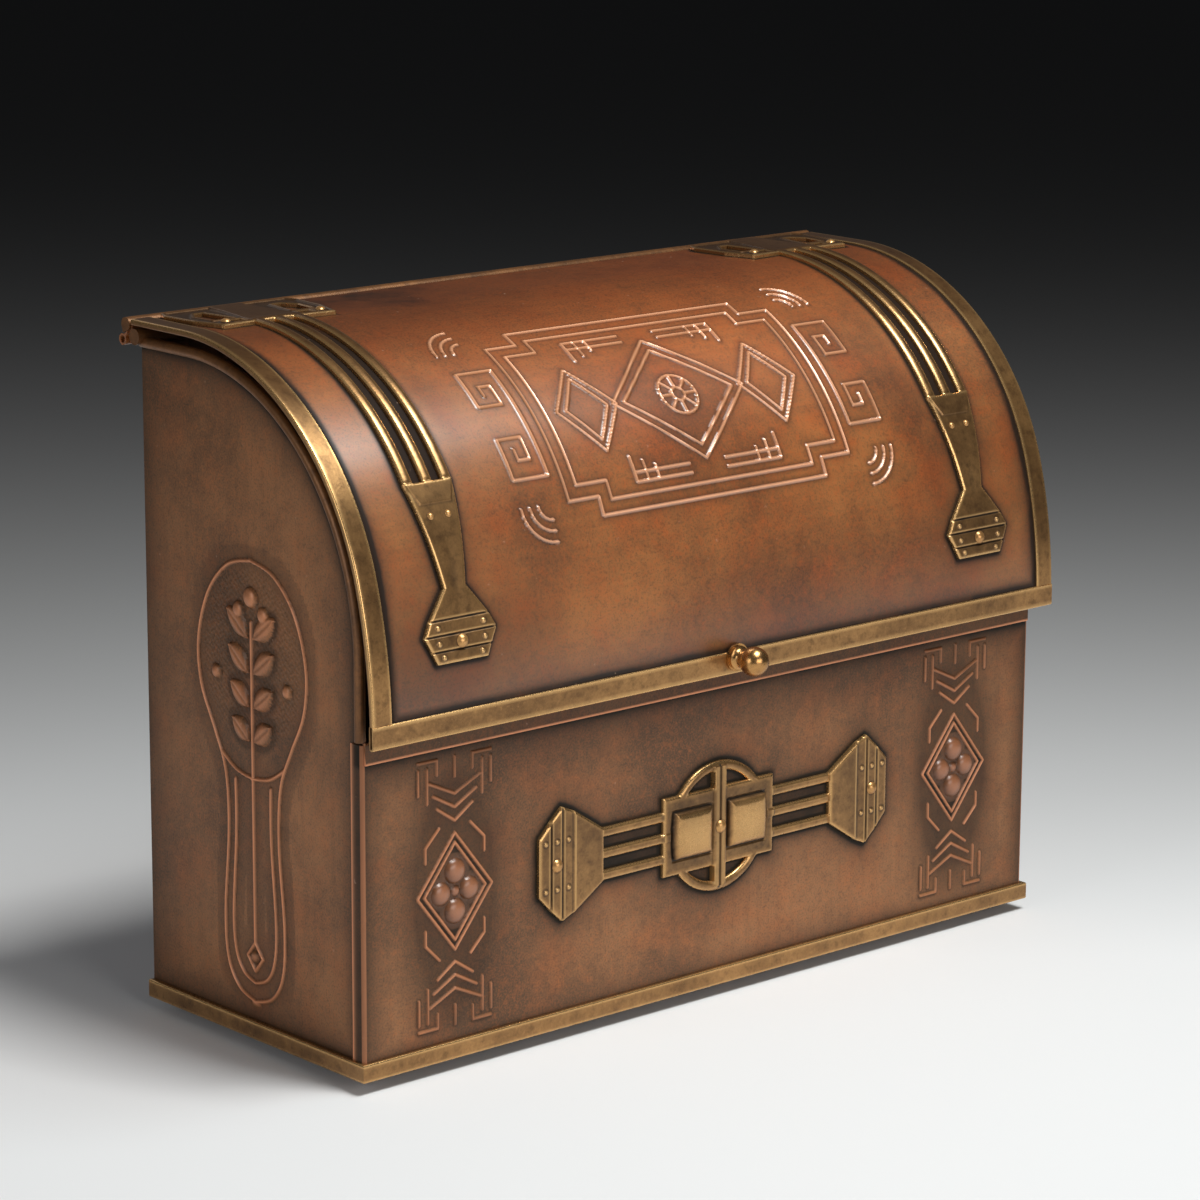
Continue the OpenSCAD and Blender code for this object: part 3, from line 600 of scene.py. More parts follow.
class Drawing:
    """Raised lines on a flat drawing, kept as short straight strokes."""

    def __init__(self, *lines):
        self.strokes = []
        for line in lines:
            self.line(line)

    def line(self, points):
        self.strokes += [(*a, *b) for a, b in zip(points, points[1:])]

    def curve(self, points, count=7):
        """A smooth line through the points."""
        p = np.array([points[0], *points, points[-1]], float)
        t = np.linspace(0, 1, count)[:-1, None]
        line = []
        for a, b, c, d in zip(p, p[1:], p[2:], p[3:]):
            line += list(b + 0.5 * t * (c - a + t * (2 * a - 5 * b + 4 * c - d + t * (3 * (b - c) + d - a))))
        self.line([*line, points[-1]])

    def mirrored(self, over_x=False, over_y=False):
        """Adds the reflected copies of all that is drawn so far."""
        if over_x:
            self.strokes += [(-a, b, -c, d) for a, b, c, d in self.strokes]
        if over_y:
            self.strokes += [(a, -b, c, -d) for a, b, c, d in self.strokes]

    def distance(self, px, py, margin=6.0):
        best = np.full(px.shape, 1e3)
        for ax, ay, bx, by in self.strokes:
            near = (
                (px > min(ax, bx) - margin) & (px < max(ax, bx) + margin)
                & (py > min(ay, by) - margin) & (py < max(ay, by) + margin)
            )
            qx, qy = px[near], py[near]
            ex, ey = bx - ax, by - ay
            t = np.clip(((qx - ax) * ex + (qy - ay) * ey) / max(ex * ex + ey * ey, 1e-9), 0, 1)
            best[near] = np.minimum(best[near], np.hypot(qx - ax - t * ex, qy - ay - t * ey))
        return best


def steps(stops):
    """Positions from a list of (end, spacing), starting with the first end."""
    line = [stops[0][0]]
    for end, spacing in stops[1:]:
        count = max(1, round((end - line[-1]) / spacing))
        line += list(np.linspace(line[-1], end, count + 1)[1:])
    return np.array(line)


# ---- The lid's curved surface ----


def lid_tilt(s):
    skirt = np.clip((s - S_SKIRT) / SKIRT_R, 0, BLEND)
    crown = np.clip((s - S_CROWN) / LID_R, 0, math.pi / 2 - BLEND)
    return skirt + crown


def lid_place(x, s, d):
    """Points at x, distance s along the sheet and distance d outside it, and the normals there."""
    x, s, d = np.broadcast_arrays(*(np.asarray(v, float) for v in (x, s, d)))
    a = lid_tilt(s)
    on_skirt = s < S_CROWN
    y = np.where(on_skirt, SKIRT_Y - SKIRT_R * np.cos(a), CROWN_Y - LID_R * np.cos(a))
    z = np.where(on_skirt, SKIRT_Z + SKIRT_R * np.sin(a), CROWN_Z + LID_R * np.sin(a))
    z = np.where(s < S_SKIRT, LID_EDGE_Z + s, z)
    y = np.where(s > S_FLAT, CROWN_Y + s - S_FLAT, y)
    normal = np.stack([np.zeros_like(y), -np.cos(a), np.sin(a)], -1)
    return np.stack([x, y, z], -1) + normal * d[..., None], normal


# ---- Ornaments ----


def raised(distance, width, rise):
    """A rounded raised line."""
    q = np.clip(1 - (2 * distance / width) ** 2, 0, 1)
    return rise * q ** 0.7


def line_marks(distance, width, halo):
    """Rubbing with a painted highlight along a raised line, and the patina beside it."""
    ridge = np.clip(1 - (2 * distance / width) ** 2, 0, 1)
    return ridge, np.where(distance < width / 2, 0, fading(distance - width / 2, 1, halo))


def lid_drawing():
    """A quarter of the lid's ornament, reflected both ways, and the rosette in its middle."""
    d = Drawing([(84, 0), (84, 26), (102, 26), (102, 8), (90, 8), (90, 18), (96, 18), (96, 13)])
    for grow in (0, 6):
        frame_line = [(-grow, 40), (56, 40), (56, 32), (72, 32), (72, -grow)]
        d.line([(x + grow, y + grow) for x, y in frame_line])
        d.line([(0, 24 + grow), (30 + grow, 0)])
    for grow in (0, 5):
        d.line([(39 - grow, 0), (50, 15 + grow), (61 + grow, 0)])
    for y in (35, 31):
        d.line([(10, y), (40, y)])
    for x in (40, 34, 28):
        d.line([(x, 35), (x, 24 + (40 - x) * 0.4)])
    for r in (6, 10.5, 15):
        d.line(arc(88, 38, r, 0, 90, 11))
    d.mirrored(over_x=True)
    d.mirrored(over_y=True)
    d.line(arc(0, 0, 9.5, 0, 360, 33))
    d.line(arc(0, 0, 3.2, 0, 360, 17))
    for spoke in zip(arc(0, 0, 4.0, 0, 315, 8), arc(0, 0, 8.8, 0, 315, 8)):
        d.line(spoke)
    return d


def column_drawing():
    """One of the two upright columns on the front."""
    d = Drawing(
        [(0, 24), (19, 0)], [(0, 20), (15.6, 0)], [(8, 27), (15, 20), (15, 14)], [(14, 38), (14, 52)],
        [(18.5, 42), (18.5, 52)], [(9, 49), (9, 55), (18.5, 55)],
    )
    for k in range(3):
        d.line([(0, 29 + 5.5 * k), (9 + 2 * k, 35 + 5.5 * k)])
    d.mirrored(over_x=True)
    d.line([(0, 47), (0, 55)])
    d.mirrored(over_y=True)
    return d


BOSSES = [(0, 8.2, 5.0), (0, -8.2, 5.0), (7.2, 0, 4.6), (-7.2, 0, 4.6), (0, 0, 2.2)]


def side_drawing():
    """The outline of the side panels' ornament: a tall frame that narrows downwards."""
    d = Drawing()
    d.curve([
        (0, 197), (15, 193), (28, 180), (35, 160), (33.5, 141), (25, 124), (18, 108), (16.5, 84), (19.5, 50),
        (18, 30), (11, 19), (0, 15),
    ])
    d.curve([(21, 116), (11, 110), (0, 108)])
    d.curve([(11.5, 106), (11.5, 84), (14, 50), (12.5, 34), (7.5, 26), (0, 23)])
    d.line([(0, 40), (5, 34), (0, 28)])
    d.mirrored(over_x=True)
    d.line([(0, 40), (0, 172)])
    return d


LEAF_TURN = math.radians(38)
LEAVES = [(z, side, 6.6 + 0.045 * (z - 120)) for z in (122, 136, 150, 164) for side in (-1, 1)]
BERRIES = [(0, 182, 4.2), (-8, 176, 3.4), (8, 176, 3.4), (-23, 148, 3.0), (23, 148, 3.0), (0, 34, 2.6)]


def leaf_heights(px, py):
    """Domed leaves along the stem with berries between them, and the dark round each."""
    height = np.zeros(px.shape)
    dark = np.zeros(px.shape)
    c, s = math.cos(LEAF_TURN), math.sin(LEAF_TURN)
    for z, side, length in LEAVES:
        cx, cz = side * (length + 2.2) * c, z + (length + 2.2) * s
        along = (px - cx) * side * c + (py - cz) * s
        across = -(px - cx) * s + (py - cz) * side * c
        share = np.abs(along) / length
        half = 4.6 * np.clip(1 - share ** 2.2, 0, 1)
        body = np.clip(1 - (across / np.maximum(half, 1e-3)) ** 2, 0, 1) * (share < 1)
        vein = blur(across, 0.7) * (share < 0.9)
        height = most(height, 1.5 * np.sqrt(body) - 0.35 * vein * (body > 0.1))
        dark = most(dark, fading(np.hypot(along / 1.5, across) - 6.2, 1, 2.0))
    for x, z, r in BERRIES:
        height = most(height, dome(px, py, x, z, r, r * 0.55))
        dark = most(dark, fading(np.hypot(px - x, py - z) - r, 1, 2.0))
    return height, dark


# ---- Copper sheets ----


def both_sides(half):
    """A closed outline from its half on one side of a strap's centre line."""
    return half + [(-x, s) for x, s in half[::-1]]


def on_flat(y):
    """Distance along the lid's sheet to a place on its level rear part."""
    return y - CROWN_Y + S_FLAT


S_FRONT = on_flat(HORN_FRONT)
S_REAR = on_flat(HORN_REAR)
S_MID = on_flat(HORN_MID)
S_SLOT_BACK = on_flat(HORN_FRONT + 2 * HORN_BAR + 0.8)
STRAP_FOOT = both_sides([
    (FOOT_W / 2 - 5.4, S_FOOT), (FOOT_W / 2 - 3.2, S_OUTER_GROOVE), (FOOT_W / 2, S_WIDE),
    (FOOT_W / 2 - 3.2, S_INNER_GROOVE), (WAIST_W / 2, S_WAIST), (FORK_W / 2, S_SHOULDER),
])
STRAP_HEAD = both_sides([
    (FORK_W / 2, S_FRONT), (HORN_W / 2 - 6, S_FRONT - 1), (HORN_W / 2 - 1.5, S_MID - 5),
    (HORN_W / 2, S_REAR - 6), (HORN_W / 2 - 3, S_REAR),
])
HORN_WINDOWS = [
    [
        (WINDOW_IN, S_FRONT + HORN_BAR), (HORN_RIVET - 3.6, S_FRONT + HORN_BAR),
        (HORN_RIVET - 3.6, S_SLOT_BACK), (WINDOW_IN, S_SLOT_BACK),
    ],
    [
        (WINDOW_IN + 1, S_SLOT_BACK + HORN_BAR), (HORN_RIVET + 1, S_SLOT_BACK + HORN_BAR),
        (HORN_RIVET + 2, S_MID + 3), (HORN_RIVET - 2, S_REAR - 10), (WINDOW_IN + 3.5, S_REAR - 10),
    ],
]


def fork_box(px, ps):
    """Distance inside the whole of a strap's fork, prongs and slots together."""
    return to_box(px, ps, -FORK_W / 2, FORK_W / 2, S_SHOULDER - 1, S_FLAT + 6)


def strap_distance(px, ps):
    """Distance inside a strap's outline, by place from the strap's centre line."""
    inside = most(to_polygon(px, ps, STRAP_FOOT), to_polygon(px, ps, STRAP_HEAD))
    for i in (-1, 0, 1):
        x = i * (PRONG_W + SLOT_W)
        inside = most(inside, to_box(px, ps, x - PRONG_W / 2, x + PRONG_W / 2, S_SHOULDER - 1, S_FLAT + 6))
    for window in HORN_WINDOWS:
        inside = np.minimum(inside, -to_polygon(np.abs(px), ps, window))
    return inside


def lid_patina_and_shade(px, ps, halo):
    """Patina and glow on the lid: dark beside the brass and rearward, stained low at the left, with painted
    shadow tight against the trims and straps and painted shade in the slots between the prongs.
    """
    beside_trim = np.minimum(LID_HALF - TRIM_T - GAP - TRIM_W - np.abs(px), ps - TRIM_W)
    across = np.abs(px) - STRAP_X
    beside_strap = -strap_distance(across, ps)
    dark = most(
        # The tight fades beside the trim and the strap are painted shadow along their edges, with patina; the
        # wide fades are patina.
        fading(beside_trim, 0.9, 2.2) + fading(beside_trim, 0.42, 16),
        fading(beside_strap, 1.1, 1.3) + fading(beside_strap, 0.45, 15),
        # Painted shade on the copper seen through the slots between the prongs.
        1.5 * (fork_box(across, ps) > 0),
        (0.08 + 0.45 * ramp(ps, 140, 200)) * ramp(np.abs(px), 118, 150),
    )
    clear = ramp(beside_trim, 1, 4) * ramp(beside_strap, 1, 4)
    # Less patina on a band where the shoulder lamp's sheen falls: partly polish, partly a painted sheen that
    # lightens the colour there.
    polish_and_sheen = blur(ps - 128, 34) * ramp(np.abs(px), 122, 130) * clear
    dark = most(
        dark * (1 - 0.8 * polish_and_sheen),
        fading(S_END - ps, 0.6, 5),
        (0.4 + 0.14 * ramp(-px, 0, 100)) * ramp(ps, 130, 200) + 0.2 * ramp(ps, 170, 230),
        0.5 * patch((px + 158) / 62, (ps - 24) / 46),
        halo * 0.7,
    )
    glow = 0.75 * ramp(ps, 120, 215) + 0.35 * patch(px / 90, (ps - 125) / 40)
    return dark, glow


def lid_tail(x):
    """The lid's rear edge, which turns down in front of the bar: points and normals."""
    front = BAR_Y - BAR_R - GAP
    line = [
        (front - 0.6, LID_TOP_Z - 0.05, 0.3, 0.95), (front - 0.15, LID_TOP_Z - 0.35, 0.7, 0.7),
        (front, LID_TOP_Z - 0.9, 1.0, 0.05),
    ]
    turned = zip(arc(BAR_Y, BAR_Z, BAR_R + GAP, 182, 250, 8), arc(0, 0, -1, 182, 250, 8))
    line += [(*place, *normal) for place, normal in turned]
    y, z, normal_y, normal_z = np.array(line).T[..., None]
    tail = np.stack(np.broadcast_arrays(x, y, z), -1)
    return tail, np.stack(np.broadcast_arrays(np.zeros(len(x)), normal_y, normal_z), -1)


def make_lid_sheet():
    half = LID_HALF - TRIM_T - GAP
    x = steps([
        (-half, 0), (-178, 1.5), (-122, 0.9), (-LID_FINE_X, 2.0), (LID_FINE_X, 0.58), (122, 2.0), (178, 0.9),
        (half, 1.5),
    ])
    s = steps([
        (TRIM_T + GAP, 0), (26, 2.5), (LID_ART_S - LID_FINE_S, 1.3), (LID_ART_S + LID_FINE_S, 0.5),
        (S_FLAT - 8, 2.0), (S_END, 1.1),
    ])
    px, ps = np.meshgrid(x, s)
    face, normal = lid_place(px, ps, 0)
    distance = np.full(px.shape, 1e3)
    zone = (np.abs(px) < LID_FINE_X) & (np.abs(ps - LID_ART_S) < LID_FINE_S)
    distance[zone] = lid_drawing().distance(px[zone], ps[zone] - LID_ART_S)
    ridge, halo = line_marks(distance, LID_LINE_W, 1.3)
    dark, glow = lid_patina_and_shade(px, ps, halo)

    tail, turn = lid_tail(x)
    rows = len(tail)
    bare = np.zeros((rows, len(x)))
    lift = np.concatenate([raised(distance, LID_LINE_W, LID_RISE), bare])
    thickness = np.full(lift.shape, SHEET)
    thickness[-rows:-rows + 3] = 0.7
    marks = {
        "dark": np.concatenate([dark, bare + 0.6]),
        "ridge": np.concatenate([ridge, bare]),
        "glow": np.concatenate([glow, bare]),
    }
    made = sheet(
        "lid_sheet", np.concatenate([face, tail]), np.concatenate([normal, turn]), thickness, lift, marks,
        body="lid", slot="lid_copper", finish=LID_COPPER,
    )
    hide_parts("lid_panel")


class Prisms:
    """Straight pieces along X with outlines in Y and Z, gathered for one mesh."""

    def __init__(self):
        self.points = []
        self.quads = []
        self.rings = []

    def ends(self, x0, x1, outline):
        """Adds the outline at both ends and returns the numbers of its points, with the next ones."""
        n = len(outline)
        base = len(self.points)
        self.points += [(x, y, z) for x in (x0, x1) for y, z in outline]
        near = base + np.arange(n)
        return near, near + n, np.roll(near, -1), np.roll(near, -1) + n

    def wall(self, a, b, c, d):
        self.quads.append(np.stack([a, b, c, d], -1))

    def solid(self, x0, x1, outline):
        near, far, near_next, far_next = self.ends(x0, x1, outline)
        self.wall(near_next, far_next, far, near)
        self.rings += [list(near[::-1]), list(far)]

    def tube(self, x0, x1, outline, bore):
        near, far, near_next, far_next = self.ends(x0, x1, outline)
        in_near, in_far, in_near_next, in_far_next = self.ends(x0, x1, bore)
        self.wall(near_next, far_next, far, near)
        self.wall(in_near, in_far, in_far_next, in_near_next)
        self.wall(in_near, in_near_next, near_next, near)
        self.wall(far, far_next, in_far_next, in_far)


def make_lid_knuckles():
    """The lid's hinge tubes, with the fingers that join them to the rolled tail."""
    length = 2 * LID_HALF / KNUCKLES
    outer, bore = (arc(HINGE_Y, HINGE_Z, r, 0, 360, 33)[:-1] for r in (KNUCKLE_R, KNUCKLE_BORE))
    root = [arc(BAR_Y, BAR_Z, BAR_R + d, 249, 249, 1)[0] for d in (GAP, GAP + SHEET)]
    finger = root + arc(HINGE_Y, HINGE_Z, (KNUCKLE_R + KNUCKLE_BORE) / 2, 150, 105, 2)
    made = Prisms()
    for i in range(0, KNUCKLES, 2):
        x0 = -LID_HALF + i * length + (0 if i == 0 else KNUCKLE_GAP / 2)
        x1 = -LID_HALF + (i + 1) * length - (0 if i == KNUCKLES - 1 else KNUCKLE_GAP / 2)
        made.tube(x0, x1, outer, bore)
        made.solid(x0 + 0.01, x1 - 0.01, finger)
    piece(
        "lid_knuckles", made.points, np.concatenate(made.quads), made.rings,
        body="lid", slot="lid_copper", finish=LID_COPPER,
    )


MOUNT_END = [
    (MOUNT_W / 2, END_EDGE_H / 2), (END_GROOVE_OUT, END_H / 2 - OUTER_DROP), (END_WIDE, END_H / 2),
    (END_STEP, END_H / 2 - INNER_DROP), (NECK_X, NECK_H / 2),
]


def ring_distance(px, pz):
    """Distance inside the mount's round band."""
    return np.minimum(to_disc(px, pz, 0, 0, RING_R), -to_disc(px, pz, 0, 0, RING_R - RING_BAND))


def plate_distance(ax, pz):
    """Distance inside the mount's centre plate."""
    return to_box(ax, pz, -1, PLATE_W / 2, -PLATE_H / 2, PLATE_H / 2)


def rib_distance(ax, pz):
    """Distance inside the mount's centre rib."""
    return to_box(ax, pz, -1, RIB_X, -RING_R + 2, RING_R - 2)


def mount_distance(px, pz):
    """Distance inside the front mount's outline, by place from its centre."""
    ax = np.abs(px)
    inside = most(
        to_polygon(ax, pz, [(x, -z) for x, z in MOUNT_END[::-1]] + MOUNT_END),
        plate_distance(ax, pz), ring_distance(px, pz), rib_distance(ax, pz),
    )
    for i in (-1, 0, 1):
        z = i * (NECK_H - MOUNT_BAR_H) / 2
        bar = to_box(ax, pz, PLATE_W / 2 - 1, NECK_X + 1, z - MOUNT_BAR_H / 2, z + MOUNT_BAR_H / 2)
        inside = most(inside, bar)
    return inside


def front_path():
    """Plan of the front panel's outer face from one flange's edge to the other's, with normals."""
    x, y = FRONT_X - BEND_R, FRONT_Y + BEND_R
    near, far = COLUMN_X - COLUMN_HALF_W, COLUMN_X + COLUMN_HALF_W
    flange = np.linspace(FLANGE_Y, y, 6)
    across = steps([(-x, 0), (-far, 1.5), (-near, 0.46), (near, 2.0), (far, 0.46), (x, 1.5)])[1:-1]
    points = [(-FRONT_X, v) for v in flange] + arc(-x, y, BEND_R, 180, 270, 9)[1:]
    points += [(v, FRONT_Y) for v in across]
    points += arc(x, y, BEND_R, 270, 360, 9) + [(FRONT_X, v) for v in np.linspace(y, FLANGE_Y, 6)[1:]]
    normals = [(-1, 0)] * 6 + arc(0, 0, 1, 180, 270, 9)[1:] + [(0, -1)] * len(across)
    normals += arc(0, 0, 1, 270, 360, 9) + [(1, 0)] * 5
    return np.array(points), np.array(normals)


def front_patina_and_shade(px, pz, u, v, halo):
    """Patina on the front round the columns and the mount and over the moulding, with painted shadow under the
    hem and tight against the mount.
    """
    below_hem = FRONT_H - HEM_H - pz
    mount_z = pz - MOUNT_Z
    beside_mount = -mount_distance(px, mount_z)
    gaps = most(
        to_box(np.abs(px), mount_z, -1, NECK_X, -NECK_H / 2, NECK_H / 2), to_disc(px, mount_z, 0, 0, RING_R),
    )
    return most(
        halo * 0.7,
        fading(np.maximum(np.hypot(u, v * 0.45) - 20, 0), 0.62, 12),
        # Painted shadow under the lid's edge and the hem, with patina.
        fading(below_hem, 0.7, 5) + fading(below_hem, 0.3, 26),
        fading(pz - MOULD_HIGH[2], 0.65, 5),
        fading(FRONT_X - np.abs(px), 0.75, 10),
        # The tight fade round the mount is painted shadow along its edge, with patina; the wide fade is
        # patina.
        fading(beside_mount, 1.0, 1.5) + fading(beside_mount, 0.5, 11),
        0.8 * (gaps > 0),
    )


def make_front_sheet():
    plan, plan_normal = front_path()
    low, high = COLUMN_Z - COLUMN_HALF_H, COLUMN_Z + COLUMN_HALF_H
    z = steps([(FRONT_LOW[2], 0), (low, 1.5), (high, 0.46), (FRONT_H - SHEET, 1.5)])
    rows, cols = len(z), len(plan)
    face = np.zeros((rows, cols, 3))
    face[..., :2] = plan
    face[..., 2] = z[:, None]
    normal = np.zeros((rows, cols, 3))
    normal[..., :2] = plan_normal
    px, pz = face[..., 0], face[..., 2]
    flat = np.abs(plan_normal[:, 1]) > 0.999
    side = np.abs(plan_normal[:, 0]) > 0.999
    u = np.where(flat[None, :], np.abs(px) - COLUMN_X, 1e3)
    v = pz - COLUMN_Z
    distance = column_drawing().distance(u, v)
    lift = raised(distance, COLUMN_LINE_W, COLUMN_RISE)
    ridge, halo = line_marks(distance, COLUMN_LINE_W, 1.8)
    ridge = ridge * (0.7 - 0.35 * ramp(np.abs(v), 25, 55))
    glow = np.zeros(u.shape)
    for x, y, r in BOSSES:
        near = np.hypot(u - x, v - y)
        lift = most(lift, dome(u, v, x, y, r, r * 0.5))
        glow = most(glow, np.clip(1.6 - near / r, 0, 1))
        # Each boss is lighter towards its top: partly rubbing, partly a painted highlight.
        ridge = most(ridge, 0.35 * np.clip(1 - (near / r) ** 2, 0, 1))
    in_diamond = np.abs(u) / DIAMOND_W + np.abs(v) / DIAMOND_H < 1
    ground = in_diamond & (ridge < 0.2) & (glow < 0.1)
    dark = most(front_patina_and_shade(px, pz, u, v, halo), 0.8 * ground)
    # Painted highlights along the flanges' edges and, through bend, on the rounded bends at the front corners.
    flange_edge_highlight = np.where(side, np.exp(-(FLANGE_Y - plan[:, 1]) / 0.8), 0)
    bend = np.where(~flat & ~side, 0.35, 0)
    marks = {"dark": dark * (1 - flange_edge_highlight), "ridge": most(ridge, flange_edge_highlight, bend), "glow": glow}
    made = sheet("front_sheet", face, normal, SHEET, lift, marks, step=4)
    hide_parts("front_panel")


ALONG_X, ALONG_Y, ALONG_Z = np.eye(3)


def make_front_hem():
    """The top edge folded over outside the front, 1 mm thick with a rounded fold."""
    half = FRONT_X - HEM_END
    low, fold = FRONT_H - HEM_H, FRONT_H - SHEET
    section = [(FRONT_Y, low + 0.3), (FRONT_Y - 0.3, low), (FRONT_Y - 0.75, low), (FRONT_Y - SHEET, low + 0.3)]
    section += [(FRONT_Y - SHEET, z) for z in np.linspace(low + 1.2, fold, 6)]
    section += arc(FRONT_Y, fold, SHEET, 165, 0, 9)
    section += [(FRONT_Y + SHEET, fold - 0.4), (FRONT_Y, fold - 0.4)]
    height = np.array(section)[:, 1]
    # Painted highlights on the hem's lower edge and its fold, and painted shade, with patina, on its face
    # under the lid's edge.
    ridge = 0.95 * (height < low + 0.5) + 0.45 * (height > fold + 0.5)
    marks = {"ridge": ridge, "dark": 0.55 * (ridge < 0.1)}
    origins = np.outer(steps([(-half, 0), (half, 4.0)]), ALONG_X)
    sweep("front_hem", section, origins, ALONG_Y, ALONG_Z, marks)


def front_edge_y(z):
    """Where a side panel's outline begins, by height."""
    up = np.clip(z - CROWN_Z, 0, SHOULDER_R)
    curve = CROWN_Y - np.sqrt(np.clip(SHOULDER_R ** 2 - up ** 2, 0, None))
    return np.where(z > CROWN_Z, curve, FRONT_Y)


SIDE_SPLIT_Z = 198.0
EDGE_SHARE = 0.222


def side_grid():
    """Places of a side sheet's points, in Y and Z.

    Columns stay upright across the ornament and follow the outline outside it."""
    first_angle = math.degrees(math.asin((SIDE_SPLIT_Z - CROWN_Z) / SHOULDER_R))
    theta = np.radians(steps([(first_angle, 0), (90, 1.1)]))
    straight = steps([(FRONT_LOW[2], 0), (15, 2.0), (SIDE_SPLIT_Z, 0.5)])[:-1]
    z = np.concatenate([straight, CROWN_Z + SHOULDER_R * np.sin(theta)])
    t = steps([(0, 0), (EDGE_SHARE, 0.016), (0.775, 0.0037), (1, 0.016)])
    first_y = FRONT_Y + BEND_R
    start = np.where(z < FRONT_H, first_y, front_edge_y(z))[:, None]
    stop = np.where(z > ROD_LOW[2] - GAP, ROD_LOW[1] - GAP, BACK_Y)[:, None]
    upright = first_y + (BACK_Y - FRONT_Y - BEND_R) * t
    share = ramp(z, 190, 215)[:, None]
    py = upright * (1 - share) + (start + (stop - start) * t) * share
    edge_y = start + (upright[np.argmin(np.abs(t - EDGE_SHARE))] - start) * (t / EDGE_SHARE)
    py = np.where((t < EDGE_SHARE) & (share < 1e-6), edge_y, py)
    return py, np.broadcast_to(z[:, None], py.shape)


def side_wear(py, pz, distance):
    """Patina on a side panel: along its curved edge, its rear and its foot, and round the ornament."""
    shoulder = np.minimum(SHOULDER_R - np.hypot(py - CROWN_Y, pz - CROWN_Z), 400)
    below = np.where(py < CROWN_Y, py - FRONT_Y, SIDE_HIGH[2] - pz)
    edge = np.where((pz > CROWN_Z) & (py < CROWN_Y), shoulder, below)
    return most(
        fading(edge - 5, 0.9, 6), fading(BACK_Y - py, 0.6, 16), fading(pz - MOULD_HIGH[2], 0.7, 9),
        fading(np.clip(distance - 1, 0, None), 0.42, 12),
    )


def make_side_sheet(side):
    py, pz = side_grid()
    face = np.stack([np.full(py.shape, SIDE_X * side), py, pz], -1)
    normal = np.zeros(face.shape)
    normal[..., 0] = side
    distance = side_drawing().distance(py, pz)
    ridge, halo = line_marks(distance, SIDE_LINE_W, 2.0)
    leaf, beside_leaf = leaf_heights(py, pz)
    ground = ramp(SPRIG_R - np.hypot(py, (pz - SPRIG_Z) * 0.9), -2, 6) * (leaf < 0.05)
    waves = np.sin(2.1 * py + 0.9 * np.sin(1.3 * pz)) * np.sin(2.3 * pz + 0.8 * np.sin(1.1 * py))
    pebbles = np.clip(waves, 0, 1)
    lift = most(raised(distance, SIDE_LINE_W, SIDE_RISE), leaf, 0.22 * pebbles * ground)
    dark = most(
        halo * 0.6,
        beside_leaf * 0.6 * (leaf < 0.2),
        0.3 * ground * (1 - 0.7 * pebbles),
        side_wear(py, pz, distance),
    )
    ridge = most(ridge * 0.9, 0.5 * ramp(leaf, 0.8, 1.6)) * (pz <= 205)
    name = "side_sheet_right" if side > 0 else "side_sheet_left"
    made = sheet(name, face, normal, SHEET, lift, {"dark": dark, "ridge": ridge})
    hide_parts("side_panel_right" if side > 0 else "side_panel_left")


def make_side_flange(side):
    """The strip turned in along a side panel's rear edge."""
    low, high = side * SIDE_LOW[0], side * (SIDE_X - 0.4)
    section = [(low, BACK_Y - 2), (high, BACK_Y - 2), (high, BACK_Y - 1), (low, BACK_Y - 1)]
    origins = np.outer(steps([(7.2, 0), (ROD_LOW[2] - 3.4, 6.0)]), ALONG_Z)
    name = "rear_flange_right" if side > 0 else "rear_flange_left"
    sweep(name, section, origins, ALONG_X, ALONG_Y, finish=INNER_COPPER)


# ---- Brass strips ----


def corner_marks(section, corners, fall):
    """1 at the section's points nearest to the given corners, falling off over a distance."""
    section = np.array(section)
    return most(*(blur(np.hypot(*(section - np.array(corner)).T), fall) for corner in corners))


def make_side_trim(side):
    """The folded edging over a side edge of the lid: outer face, edge and inner return."""
    inner, bend = LID_HALF - TRIM_W, LID_HALF - TRIM_BEND
    under = -SHEET - TRIM_T
    section = [(inner, GAP * 0.2), (inner, 0.5), (inner + 0.3, TRIM_T)]
    section += [(v, TRIM_T) for v in np.linspace(inner + 1.5, LID_HALF - 2.0, 6)]
    section += arc(bend, TRIM_T - TRIM_BEND, TRIM_BEND, 90, 0, 6)
    section += arc(bend, under + TRIM_BEND, TRIM_BEND, 0, -90, 6)
    section += [(inner + 0.3, under), (inner, under + 0.3), (inner, -SHEET)]
    section += [(LID_HALF - TRIM_T, -SHEET), (LID_HALF - TRIM_T, 0)]
    s = steps([(TRIM_W, 0), (S_CROWN, 2.5), (S_FLAT, 1.6), (on_flat(LID_REAR_Y), 3.0)])
    origins, normals = lid_place(0, s, 0)
    marks = {
        # The ridge mark paints highlights along the trim's two outer edges.
        "ridge": 0.8 * corner_marks(section, [(inner + 0.15, 0.7), (LID_HALF - 0.25, TRIM_T - 0.25)], 0.7),
        "dark": corner_marks(section, [(inner, 0)], 0.35),
        "glow": 0.8 * ramp(s, S_CROWN + 30, S_FLAT)[:, None],
    }
    name = "side_edging_right" if side > 0 else "side_edging_left"
    made = sweep(
        name, section, origins, side * ALONG_X, normals, marks, body="lid", slot="brass", finish=BRASS,
    )
    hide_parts("lid_trim_right" if side > 0 else "lid_trim_left")


